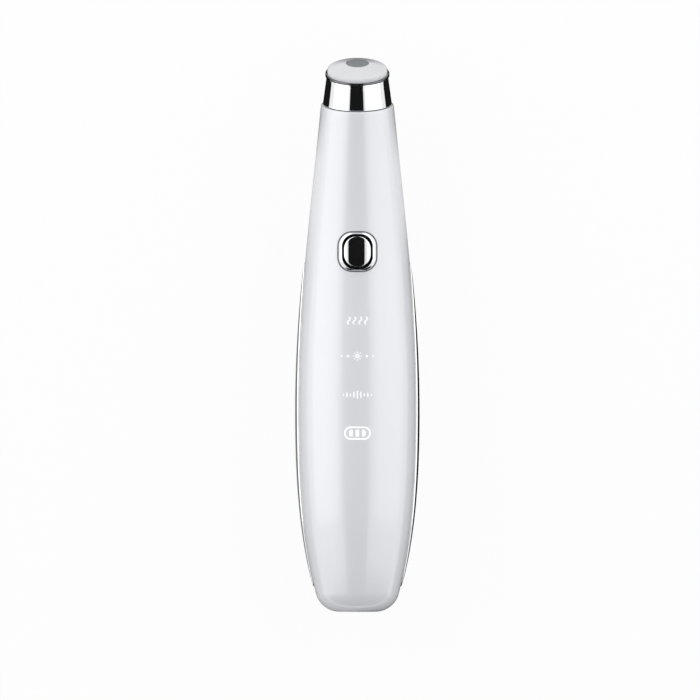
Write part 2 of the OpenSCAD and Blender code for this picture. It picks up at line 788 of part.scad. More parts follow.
board_tab_to = board_from + 5.6;
screw_hole_r = 1;
module main_board() {
    color("darkgreen") in_place() translate([0, 0, board_z]) linear_extrude(board_t) difference() {
        union() {
            translate([-board_tab_w / 2, board_from]) square([board_tab_w, board_to - board_from]);
            translate([-board_w / 2, board_tab_to]) square([board_w, board_to - board_tab_to]);
        }
        for (p = post_at) translate(p) circle(screw_hole_r);
    }
}

module on_board(x, s, size) {
    translate([x - size[0] / 2, s - size[1] / 2, board_top]) cube(size);
}
controller_step = 22.6;
controller_at = board_from + controller_step;
controller_size = [6, 6, 1];
module controller_chip() {
    color("#222222") in_place() on_board(0, controller_at, controller_size);
}
charger_size = [4, 3, 1];
charger_step = 8;
charger_at = controller_at + charger_step;
charger_x = -2;
module charge_chip() {
    color("#222222") in_place() on_board(charger_x, charger_at, charger_size);
}
capacitor_size = [2, 1.2, 1];
capacitor_pitch = 2;
capacitor_x = 3.2;
module board_capacitors() {
    color("tan") in_place() {
        for (i = [-1:1]) on_board(capacitor_x, charger_at + i * capacitor_pitch, capacitor_size);
        for (x = [-1, 1])
            on_board(x * (controller_size[0] / 2 + capacitor_size[0]), controller_at, capacitor_size);
    }
}

mark_count = 3;
gauge_leds = 3;
gauge_step = 2.1;
led_size = [1.6, 0.8, 0.6];
marks_at = [for (i = [1:mark_count]) gauge_at + i * mark_pitch];
module indicator_leds() {
    color("white") in_place() {
        for (s = marks_at) on_board(0, s, led_size);
        for (i = [0:gauge_leds - 1]) on_board((i - (gauge_leds - 1) / 2) * gauge_step, gauge_at, led_size);
    }
}

well = [7.6, 4.2];
baffle_end = 4;
baffle_from = gauge_at - baffle_end;
baffle_to = gauge_at + mark_count * mark_pitch + baffle_end;
baffle_top = front_z(baffle_w / 2, baffle_to, wall) - 0.2;
module light_baffle() {
    color("#333333") in_place() difference() {
        translate([-baffle_w / 2, baffle_from, board_top])
            cube([baffle_w, baffle_to - baffle_from, baffle_top - board_top]);
        for (s = concat([gauge_at], marks_at))
            translate([-well[0] / 2, s - well[1] / 2, board_top - past]) cube([well[0], well[1], baffle_top]);
    }
}

screw_head_r = 1.6;
screw_head_h = 1;
screw_l = 4.5;
screw_slot = [2, 0.4, 0.5];
module board_screws() {
    color("silver") in_place() for (p = post_at) translate([p[0], p[1], board_z]) {
        cylinder(r = pilot_r - joint_gap, h = screw_l);
        difference() {
            translate([0, 0, -screw_head_h]) cylinder(r = screw_head_r, h = screw_head_h);
            for (a = [0, 90])
                rotate(a) translate([-screw_slot[0] / 2, -screw_slot[1] / 2, -screw_head_h - past])
                    cube([screw_slot[0], screw_slot[1], screw_slot[2] + past]);
        }
    }
}

tongue_w = 3.9;
tongue_t = 0.6;
socket_back = 1;
module charging_socket() {
    color("silver") in_place() translate([0, socket_sunk, 0]) rotate([-90, 0, 0]) difference() {
        linear_extrude(socket_l) port_outline(0);
        translate([0, 0, -past]) linear_extrude(socket_l - socket_back + past) port_outline(-socket_t);
    }
}
module socket_tongue() {
    color("black") in_place() translate([-tongue_w / 2, socket_sunk + 1, -tongue_t / 2 - 0.3])
        cube([tongue_w, socket_l - socket_back - 1, tongue_t]);
}

// ---- Battery ----

cap_ring_t = 1.6;
module battery_cell() {
    color("royalblue") in_place() translate([0, cell_from, cell_z]) rotate([-90, 0, 0]) {
        cylinder(r = cell_r, h = cell_l - cap_ring_t);
    }
}
module battery_cap() {
    color("silver") in_place() translate([0, cell_from + cell_l - cap_ring_t, cell_z]) rotate([-90, 0, 0]) {
        cylinder(r = cell_r - 0.4, h = cap_ring_t - 0.6);
        cylinder(r = cell_r * 0.4, h = cap_ring_t);
    }
}
foam_w = 7;
foam_end = 6;
foam_over = 0.8;
module battery_pad() {
    color("dimgray") in_place() difference() {
        translate([-foam_w / 2, cell_from + foam_end, cell_z + cell_r - foam_over])
            cube([foam_w, cell_l - 2 * foam_end, pad_gap + foam_over]);
        translate([0, cell_from, cell_z]) rotate([-90, 0, 0]) cylinder(r = cell_r + 0.01, h = cell_l);
    }
}

// ---- Vibration motor ----

boss_r = 1.8;
boss_h = 0.8;
shaft_in = 6;
weight_gap = 0.4;
module motor_case() {
    color("silver") in_place() at_station(motor_at) difference() {
        union() {
            translate([0, 0, -motor_l / 2]) cylinder(r = motor_d / 2, h = motor_l);
            translate([0, 0, motor_l / 2]) cylinder(r = boss_r, h = boss_h);
        }
        translate([0, 0, -shaft_in - shaft_gap]) cylinder(r = shaft_d / 2 + shaft_gap, h = motor_l);
    }
}
module motor_sleeve() {
    color("#333333") in_place() at_station(motor_at) translate([0, 0, -motor_l / 2 + 1])
        tube_ring(sleeve_r, motor_d / 2 + 0.01, motor_l - 2);
}
weight_low = motor_l / 2 + boss_h + weight_gap;
module motor_shaft() {
    color("silver") in_place() at_station(motor_at) translate([0, 0, -shaft_in])
        cylinder(r = shaft_d / 2, h = shaft_in + weight_low + weight_l - 0.3);
}
hub_r = 1.8;
module eccentric_weight() {
    color("darkgray") in_place() at_station(motor_at) translate([0, 0, weight_low]) difference() {
        union() {
            intersection() {
                cylinder(r = weight_d / 2, h = weight_l);
                translate([-weight_d, 0, -past]) cube([2 * weight_d, weight_d, weight_l + 2 * past]);
            }
            cylinder(r = hub_r, h = weight_l);
        }
        translate([0, 0, -past]) cylinder(r = shaft_d / 2 + 0.01, h = weight_l + 2 * past);
    }
}

// ---- Leads ----

lead_r = lead_d / 2;
module battery_leads() {
    z = cell_z + cell_r * 0.5;
    end = cell_from + cell_l;
    color("red") in_place() for (x = [-1, 1]) wire([
        [x * 1.2, end + 0.02 + lead_r, cell_z], [x * 1.6, end + 2.5, cell_z + 1], [x * 2.6, end + 4, z],
        [x * 3, end + 4.8, board_z - 0.9], [x * 3, end + 4.8, board_z - 0.02]
    ], lead_d);
}
module motor_leads() {
    end = motor_at - motor_l / 2;
    color("red") in_place() for (x = [-1, 1]) wire([
        on_section(end, x * 1.8, 0) - [0, 0.15, 0],
        on_section(end - 1.5, x * 2, 0.2),
        [x * 2.6, board_to - 0.4, board_top + 1.6],
        [x * 3, board_to - 2.6, board_top + 0.9],
        [x * 3, board_to - 2.6, board_top + 0.02]
    ], lead_d);
}

lead_x = 6.2;
lead_clear = 0.25;
side_x = weight_d / 2 + lead_r + lead_clear;
heater_land = 4.8;
led_land = 6.6;
// The way past the motor that the head's leads take from the board at land, f in front of the motor's axis
function lead_route(x, f, land) = [
    [x * land, board_to - 2.6, board_top + 0.02],
    [x * land, board_to - 2.6, board_top + 0.9],
    [x * land, board_to + 0.6, board_top + 0.5],
    on_section(board_to + 2.4, x * lead_x, f + 0.2),
    on_section(motor_at - 5, x * lead_x, f),
    on_section(motor_at + 5, x * lead_x, f),
    on_section(body_len - plug_l - 1, x * side_x, f),
    on_section(body_len - plug_l + 2, x * (side_x - 0.3), f)
];
module heater_leads() {
    color("firebrick") in_place() for (x = [-1, 1]) wire(concat(
        lead_route(x, 0.55, heater_land),
        [
            face_point(x * 1.6, 0.4, -5),
            face_point(x * 0.85, 0, -2.6),
            face_point(x * 0.85, 0, heater_bottom - 0.02)
        ]
    ), lead_d);
}
module led_leads() {
    color("black") in_place() for (x = [-1, 1]) wire(concat(
        lead_route(x, -0.55, led_land),
        [
            face_point(x * led_lead_r, -0.2, -4.6),
            face_point(x * led_lead_r, 0, -3),
            face_point(x * led_lead_r, 0, led_board_low - 0.02)
        ]
    ), lead_d);
}

front_shell();
rear_shell();
side_trim_right();
side_trim_left();
head_collar();
head_rim();
light_ring();
heat_contact();
heater_disc();
thermistor();
head_carrier();
head_seal();
head_led_board();
head_leds();
button_bezel();
button_cap();
switch_body();
switch_plunger();
main_board();
controller_chip();
charge_chip();
board_capacitors();
indicator_leds();
light_baffle();
board_screws();
charging_socket();
socket_tongue();
battery_cell();
battery_cap();
battery_pad();
battery_leads();
motor_case();
motor_sleeve();
motor_shaft();
eccentric_weight();
motor_leads();
heater_leads();
led_leads();
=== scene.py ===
import math

import bmesh
import bpy
import numpy as np
from bpy.props import FloatProperty, FloatVectorProperty, PointerProperty
from bpy.types import Operator, Panel, PropertyGroup
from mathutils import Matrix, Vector


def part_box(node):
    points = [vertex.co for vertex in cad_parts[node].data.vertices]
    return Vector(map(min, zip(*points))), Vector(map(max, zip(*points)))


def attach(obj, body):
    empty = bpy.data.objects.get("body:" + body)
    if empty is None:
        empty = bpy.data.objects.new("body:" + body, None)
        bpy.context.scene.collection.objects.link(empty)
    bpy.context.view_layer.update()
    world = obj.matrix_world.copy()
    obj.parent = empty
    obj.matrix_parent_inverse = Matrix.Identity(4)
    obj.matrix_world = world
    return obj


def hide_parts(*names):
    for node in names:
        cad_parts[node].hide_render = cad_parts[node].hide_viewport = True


bl_info = {
    "name": "Heated Massager Wand",
    "version": (1, 0, 0),
    "blender": (4, 5, 0),
    "location": "View3D > Sidebar > Wand",
    "description": "Builds the visible pieces of a heated eye massager wand and its studio",
    "category": "Object",
}

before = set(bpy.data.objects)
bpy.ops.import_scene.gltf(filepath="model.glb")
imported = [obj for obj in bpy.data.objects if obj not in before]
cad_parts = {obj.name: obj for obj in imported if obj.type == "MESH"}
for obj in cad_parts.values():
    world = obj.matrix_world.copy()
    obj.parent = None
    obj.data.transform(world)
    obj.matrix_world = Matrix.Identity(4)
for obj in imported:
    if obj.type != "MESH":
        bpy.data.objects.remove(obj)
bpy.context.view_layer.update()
# The end face lies half of the wand's length behind the origin
HALF_LENGTH = -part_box("front_shell")[0].y
MM = 0.001
# Points round a turned piece, and round the outline of the button
ROUND = 128
OUTLINE = 120


# ---- Sizes and colours ----


def length_prop(name, about, value):
    """A length in metres."""
    return FloatProperty(name=name, description=about, default=value, unit="LENGTH")


def angle_prop(name, about, degrees):
    """An angle, given in degrees."""
    return FloatProperty(
        name=name, description=about, default=math.radians(degrees), unit="ROTATION",
        subtype="ANGLE")


def amount_prop(name, about, value):
    """A number from 0 up."""
    return FloatProperty(name=name, description=about, default=value, min=0)


def share_prop(name, about, value):
    """A number from 0 to 1."""
    return FloatProperty(
        name=name, description=about, default=value, min=0, max=1, subtype="FACTOR")


def colour_prop(name, about, value):
    """A colour as red, green and blue from 0 to 1."""
    return FloatVectorProperty(
        name=name, description=about, default=value, size=3, min=0, max=1, subtype="COLOR")


class WandHousing(PropertyGroup):
    body_len: length_prop("Body length", "Length of the housing along its centreline", 0.1326)
    belly_at: length_prop("Belly place", "Distance from the end face to the widest point", 0.053)
    belly_w: length_prop("Belly width", "Width across the housing at its widest point", 0.031)
    belly_d: length_prop("Belly depth", "Depth from front to back at the widest point", 0.0268)
    neck_d: length_prop("Neck diameter", "Diameter where the housing meets the collar", 0.0189)
    neck_taper_w: amount_prop("Side taper", "Slope of the sides where they meet the collar", 0.1)
    neck_taper_d: amount_prop(
        "Front taper", "Slope of the front and back where they meet the collar", 0.05)
    wall: length_prop("Wall", "Wall thickness of the two shells", 0.0018)
    end_flat_w: length_prop("End face width", "Width of the flat end face", 0.0094)
    end_flat_d: length_prop("End face depth", "Depth of the flat end face", 0.0072)
    end_round: length_prop("End rounding", "Radius that rounds the end of the housing", 0.0063)
    end_flare: angle_prop(
        "End flare", "Angle by which the sides still open past that rounding", 14.2)
    rest_flat: length_prop("Resting flat", "Depth of the flat that the wand lies on", 0.0006)
    bend_from: length_prop(
        "Bend start", "Distance from the end face to where the neck starts to bend", 0.075)
    neck_lean: angle_prop("Neck lean", "Angle by which the neck leans forwards at the collar", 11.9)
    mouth_drop: length_prop(
        "Mouth drop", "Distance by which the mouth is cut back at the front", 0.0003)
    mouth_from: length_prop(
        "Mouth drop start", "Distance from the end face to where that begins", 0.108)
    mouth_round: length_prop("Mouth rounding", "Radius of the edge round the collar", 0.0003)
    seam_round: length_prop("Seam rounding", "Radius of the edges along the parting line", 0.00012)
    socket_w: length_prop("Port width", "Width of the opening for the charging socket", 0.0079)
    socket_h: length_prop("Port height", "Height of the opening for the charging socket", 0.0029)
    socket_corner: length_prop("Port corner", "Cut across the port's two front corners", 0.0008)


class WandTrim(PropertyGroup):
    start: length_prop("Lower tip", "Distance from the end face to the lower tip of a trim", 0.0066)
    stop: length_prop("Upper tip", "Distance from the end face to the upper tip of a trim", 0.091)
    height: length_prop("Width of strip", "Widest part of a trim, measured front to back", 0.004)
    proud: length_prop("Crown", "Height by which a trim stands out of the housing", 0.00072)
    gap: length_prop("Gap", "Gap between a trim and the shells", 0.00005)


class WandHead(PropertyGroup):
    collar_len: length_prop("Collar length", "Length of the collar along its centreline", 0.0076)
    collar_d: length_prop("Collar diameter", "Diameter of the collar at the housing", 0.018)
    collar_top_d: length_prop("Collar top diameter", "Diameter of the collar at its top", 0.016)
    collar_wall: length_prop("Collar wall", "Wall thickness of the collar", 0.0009)
    collar_round: length_prop("Collar rounding", "Radius of the collar's upper edge", 0.0002)
    shadow_gap: length_prop("Shadow gap", "Gap that shows at the collar's two ends", 0.00016)
    collar_lean: angle_prop("Collar lean", "Angle by which the collar's top leans forwards", 17.5)
    face_lean: angle_prop("Face lean", "Angle by which the massaging face leans forwards", 21.8)
    rim_d: length_prop("Rim diameter", "Outer diameter of the rim", 0.01669)
    rim_h: length_prop("Rim height", "Height of the rim at its sides", 0.00095)
    rim_w: length_prop("Rim width", "Width of the rim's upper face", 0.00045)
    rim_round: length_prop("Rim rounding", "Radius of the rim's outer edge", 0.0003)
    gap: length_prop("Joint gap", "Gap between pieces of the head", 0.00005)
    shoulder_h: length_prop(
        "Shoulder height", "Height of the light ring's shoulder above the rim", 0.0011)
    shoulder_w: length_prop("Shoulder width", "Width of the rounding at that shoulder", 0.0006)
    dome_h: length_prop("Crown height", "Height of the light ring's crown above the rim", 0.00262)
    bulge: length_prop("Crown bulge", "Bulge of the light ring's cone", -0.00008)
    dome_wall: length_prop("Light ring wall", "Thickness of the light ring", 0.001)
    foot_h: length_prop("Light ring foot", "Depth of the light ring's foot in the rim", 0.0002)
    contact_d: length_prop("Contact diameter", "Diameter of the warm contact disc", 0.0059)
    contact_t: length_prop("Contact thickness", "Thickness of the disc above its flange", 0.0011)
    contact_proud: length_prop(
        "Contact height", "Height of the disc above the light ring's crown", 0.00002)
    contact_round: length_prop("Contact rounding", "Radius of the disc's upper edge", 0.00016)
    contact_side: length_prop("Contact flange", "Width of the flange that holds the disc", 0.0005)
    contact_base: length_prop("Contact flange thickness", "Thickness of that flange", 0.00025)


class WandButton(PropertyGroup):
    at: length_prop(
        "Button place", "Distance from the end face to the middle of the button", 0.09378)
    bezel_w: length_prop("Bezel width", "Width of the bezel", 0.00985)
    bezel_l: length_prop("Bezel length", "Length of the bezel", 0.01005)
    bezel_r: length_prop("Bezel corner", "Corner radius of the bezel", 0.0036)
    bezel_proud: length_prop(
        "Bezel height", "Height by which the bezel stands out of the housing", 0.00068)
    open_w: length_prop("Opening width", "Width of the bezel's opening", 0.00795)
    open_l: length_prop("Opening length", "Length of the bezel's opening", 0.009)
    open_r: length_prop("Opening corner", "Corner radius of the bezel's opening", 0.0032)
    seat: length_prop("Seat depth", "Depth of the bezel's seat in the housing", 0.0015)
    pad: length_prop("Pad thickness", "Thickness of the pad under that seat", 0.0013)
    pad_side: length_prop("Pad margin", "Width of the pad around the bezel", 0.0012)
    cap_w: length_prop("Cap width", "Width of the push button", 0.007)
    cap_l: length_prop("Cap length", "Length of the push button", 0.0081)
    cap_r: length_prop("Cap corner", "Corner radius of the push button", 0.0033)
    crown_w: length_prop(
        "Crown across", "Radius of the push button's crown across the wand", 0.0105)
    crown_l: length_prop("Crown along", "Radius of the push button's crown along the wand", 0.025)
    cap_proud: length_prop(
        "Cap height", "Height of the crown above the surface of the housing", 0.001)
    cap_edge: length_prop("Cap edge", "Radius of the push button's edge", 0.00022)
    cap_side: length_prop("Flange width", "Width that the cap's flange adds across", 0.0012)
    cap_ends: length_prop("Flange length", "Length that the cap's flange adds along", 0.0006)
    cap_base: length_prop("Flange thickness", "Thickness of the cap's flange", 0.0008)
    cap_corner: length_prop(
        "Flange corner", "What the flange's corner radius adds to the cap's", 0.0005)
    well_corner: length_prop(
        "Well corner", "What the corner radius of the flange's well adds to the opening's", 0.0003)
    window_gap: length_prop("Window gap", "Gap between the bezel and the housing", 0.00026)
    window_round: length_prop(
        "Window rounding", "Radius of the housing's edge round the bezel", 0.0001)
    joint_gap: length_prop(
        "Joint gap", "Gap between the push button's flange and its seat", 0.00005)


class WandMarks(PropertyGroup):
    stroke: length_prop("Stroke", "Width of a printed stroke", 0.00034)
    film: length_prop("Film", "Height of the print above the housing", 0.000012)
    heat_at: length_prop("Warmth mark", "Distance from the end face to the warmth mark", 0.07582)
    light_at: length_prop("Light mark", "Distance from the end face to the light mark", 0.06661)
    pulse_at: length_prop(
        "Vibration mark", "Distance from the end face to the vibration mark", 0.05652)
    gauge_at: length_prop("Charge gauge", "Distance from the end face to the charge gauge", 0.04656)


class WandFinish(PropertyGroup):
    pearl: colour_prop("Shell", "Colour of the pearl white housing", (0.83, 0.84, 0.87))
    pearl_sheen: share_prop("Pearl share", "Share of mica in the housing's lacquer", 0.08)
    plating: colour_prop(
        "Plating", "Colour of the plated trims, collar and button", (0.86, 0.87, 0.88))
    # Painted shade: the rim's plating is darkened to a deep grey, which draws the dark line round
    # the foot of the light ring
    dark_plating: colour_prop(
        "Rim", "Colour of the darker plating of the head's rim", (0.16, 0.163, 0.168))
    milky: colour_prop("Light ring", "Colour of the milky light ring", (0.7, 0.71, 0.725))
    contact: colour_prop("Contact", "Colour of the warm contact disc", (0.285, 0.305, 0.312))
    ink: colour_prop("Print", "Colour of the printed marks", (0.93, 0.94, 0.95))


class WandStudio(PropertyGroup):
    left: amount_prop("Left panel", "Brightness of the large soft panel on the left", 1.8)
    right: amount_prop("Right panel", "Brightness of the large soft panel on the right", 1.54)
    fill: amount_prop("Fill", "Brightness of the surroundings on matt surfaces", 0.58)
    floor_glow: share_prop("Floor glow", "Share of plain white in the floor where it is seen", 0.93)
    fade: share_prop("Fade", "Share of a panel's width over which it brightens", 0.25)
    slot: angle_prop("Slot", "Angle from the camera's axis at which the panels start", 22.5)
    slot_shift: angle_prop("Slot shift", "Angle by which the slot is turned to the left", 2.5)
    lift: length_prop("Panel lift", "Distance by which the panels reach further past the head", 1.1)
    reach: length_prop("Panel reach", "Half of the length of the panels", 1.3)
    low: angle_prop("Panel foot", "Angle from the camera's axis at which the panels end", 88.5)
    far: length_prop("Panel distance", "Distance of the panels from the wand", 0.9)
    card_z: length_prop("Slot card height", "Height of the dark card over the slot", 0.5)
    flag: length_prop("Dark card", "Half of the width of the cards beside the wand", 0.073)
    lens: amount_prop("Lens", "Focal length of the camera in millimetres", 1600)
    view: length_prop("Field", "Width of what the camera sees at the wand", 0.1824)
    aim_x: length_prop("Aim across", "Place of the camera across the wand", -0.00192)
    aim_y: length_prop("Aim along", "Place of the camera along the wand", -0.00397)


GROUPS = {
    "wand_housing": WandHousing,
    "wand_trim": WandTrim,
    "wand_head": WandHead,
    "wand_button": WandButton,
    "wand_marks": WandMarks,
    "wand_finish": WandFinish,
    "wand_studio": WandStudio,
}


# ---- Curves and surfaces ----


def bezier(a, b, c, t):
    """A quadratic curve: the squares of what is left and of what is done weigh the ends, and
    twice their product weighs the control point. One row for each value of t."""
    t = np.asarray(t)[:, None]
    return (1 - t) ** 2 * np.array(a) + 2 * t * (1 - t) * np.array(b) + t**2 * np.array(c)


def through(knots, count):
    """A smooth curve through knots: in each span a cubic whose slope at a knot is half of the
    step from the knot before to the knot after (Catmull and Rom's rule)."""
    knots = np.asarray(knots, float)
    padded = np.vstack([2 * knots[0] - knots[1], knots, 2 * knots[-1] - knots[-2]])
    at = np.linspace(0, len(knots) - 1, count)
    i = np.minimum(at.astype(int), len(knots) - 2)
    t = (at - i)[:, None]
    before, here, there, after = (padded[i + k] for k in range(4))
    return 0.5 * (
        2 * here
        + (there - before) * t
        + (2 * before - 5 * here + 4 * there - after) * t**2
        + (3 * here - before - 3 * there + after) * t**3
    )


def cubic(t, span, v0, v1, g0, g1):
    """The cubic from v0 to v1 over a span, with slope g0 at its start and g1 at its end."""
    return (
        v0 * (2 * t**3 - 3 * t**2 + 1)
        + v1 * (3 * t**2 - 2 * t**3)
        + span * (g0 * (t**3 - 2 * t**2 + t) + g1 * (t**3 - t**2))
    )


def rounded_reach(angle, w, l, r):
    """How far a rounded rectangle reaches from its middle at an angle: to its straight sides,
    or, between them, to the circle round the centre of its corner."""
    c, s = np.abs(np.cos(angle)), np.abs(np.sin(angle))
    side = w / 2 / np.maximum(c, 1e-9)
    top = l / 2 / np.maximum(s, 1e-9)
    qx, qy = w / 2 - r, l / 2 - r
    along = qx * c + qy * s
    corner = along + np.sqrt(np.maximum(along**2 - (qx**2 + qy**2 - r**2), 0))
    reach = np.where(side * s <= qy, side, corner)
    return np.where(top * c <= qx, top, reach)


def rounded_loop(count, w, l, r):
    """The outline of a rounded rectangle as points at an even pitch along it: four straight
    sides and four quarter circles, told apart by the distance walked."""
    a, b, arc = w - 2 * r, l - 2 * r, r * math.pi / 2
    edges = np.cumsum([0, b / 2, arc, a, arc, b, arc, a, arc, b / 2])
    walk = np.arange(count) / count * edges[-1]
    x, y = np.empty(count), np.empty(count)
    k = np.searchsorted(edges, walk, side="right") - 1
    u = walk - edges[k]
    turn = u / r
    table = [
        (w / 2 + 0 * u, u),
        (a / 2 + r * np.cos(turn), b / 2 + r * np.sin(turn)),
        (a / 2 - u, l / 2 + 0 * u),
        (-a / 2 - r * np.sin(turn), b / 2 + r * np.cos(turn)),
        (-w / 2 + 0 * u, b / 2 - u),
        (-a / 2 - r * np.cos(turn), -b / 2 - r * np.sin(turn)),
        (-a / 2 + u, -l / 2 + 0 * u),
        (a / 2 + r * np.sin(turn), -b / 2 - r * np.cos(turn)),
        (w / 2 + 0 * u, -b / 2 + u),
    ]
    for i, (px, py) in enumerate(table):
        x = np.where(k == i, px, x)
        y = np.where(k == i, py, y)
    return np.stack([x, y], -1)


class Surface:
    """Points and faces of one piece, gathered from grids before they become a mesh."""

    def __init__(self):
        self.points, self.faces, self.kinds, self.count = [], [], [], 0

    def add(self, points):
        """Keeps an array of points and gives the array of their numbers, in the same shape."""
        points = np.asarray(points, float)
        size = int(np.prod(points.shape[:-1]))
        numbers = np.arange(self.count, self.count + size).reshape(points.shape[:-1])
        self.points.append(points.reshape(-1, 3))
        self.count += size
        return numbers

    def quads(self, numbers, wrap=False, hole=None, bare=()):
        """A four-sided face for each cell of a grid of point numbers. wrap closes its rows on
        themselves, hole leaves out the cells between two rows and two columns, and the rows of
        cells given last get the piece's second finish, a near-black painted shade for the gaps."""
        if wrap:
            numbers = np.concatenate([numbers, numbers[:, :1]], 1)
        cells = np.stack(
            [numbers[:-1, :-1], numbers[:-1, 1:], numbers[1:, 1:], numbers[1:, :-1]], -1)
        keep = np.ones(cells.shape[:2], bool)
        if hole:
            i0, i1, j0, j1 = hole
            keep[i0:i1, j0:j1] = False
        kinds = np.zeros(cells.shape[:2], int)
        kinds[list(bare)] = 1
        self.faces.append(cells[keep])
        self.kinds.append(kinds[keep])

    def fan(self, loop, middle, kind=0):
        """Closes a loop of point numbers with triangles to one point."""
        centre = self.add(np.asarray(middle, float)[None])[0]
        after = np.roll(loop, -1)
        self.faces.append(np.stack([loop, after, np.full_like(loop, centre)], -1))
        self.kinds.append(np.full(len(loop), kind))

    def tube(self, points):
        """A grid closed on itself, with a fan over each end."""
        numbers = self.grid(points, wrap=True)
        for row in (0, -1):
            self.fan(numbers[row], points[row].mean(0))

    def grid(self, points, wrap=False, bare=()):
        """Keeps a grid of points with a face for each of its cells, and gives its numbers."""
        numbers = self.add(points)
        self.quads(numbers, wrap, bare=bare)
        return numbers


def piece(name, surface, finish, body, nodes=(), crease=38.0):
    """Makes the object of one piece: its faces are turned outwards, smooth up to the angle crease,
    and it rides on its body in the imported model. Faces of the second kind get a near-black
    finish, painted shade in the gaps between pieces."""
    faces = [face for block in surface.faces for face in block.tolist()]
    kinds = np.concatenate(surface.kinds)
    mesh = bpy.data.meshes.new(name)
    mesh.from_pydata(np.vstack(surface.points), [], faces)
    mesh.polygons.foreach_set("material_index", kinds)
    work = bmesh.new()
    work.from_mesh(mesh)
    bmesh.ops.remove_doubles(work, verts=work.verts, dist=1e-8)
    loose = [v for v in work.verts if not v.link_faces]
    bmesh.ops.delete(work, geom=loose, context="VERTS")
    bmesh.ops.recalc_face_normals(work, faces=work.faces)
    work.to_mesh(mesh)
    work.free()
    mesh.polygons.foreach_set("use_smooth", np.ones(len(mesh.polygons), bool))
    mesh.set_sharp_from_angle(angle=math.radians(crease))
    mesh.materials.append(finish)
    if kinds.any():
        # Painted shade: a near-black finish on the faces inside the gaps, where shade falls
        mesh.materials.append(once("bare_plastic", plain_material, (0.02, 0.02, 0.021), 0.6, 0.8))
    mesh.update()
    obj = bpy.data.objects.new(name, mesh)
    bpy.context.scene.collection.objects.link(obj)
    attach(obj, body)
    if nodes:
        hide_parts(*nodes)
    return obj


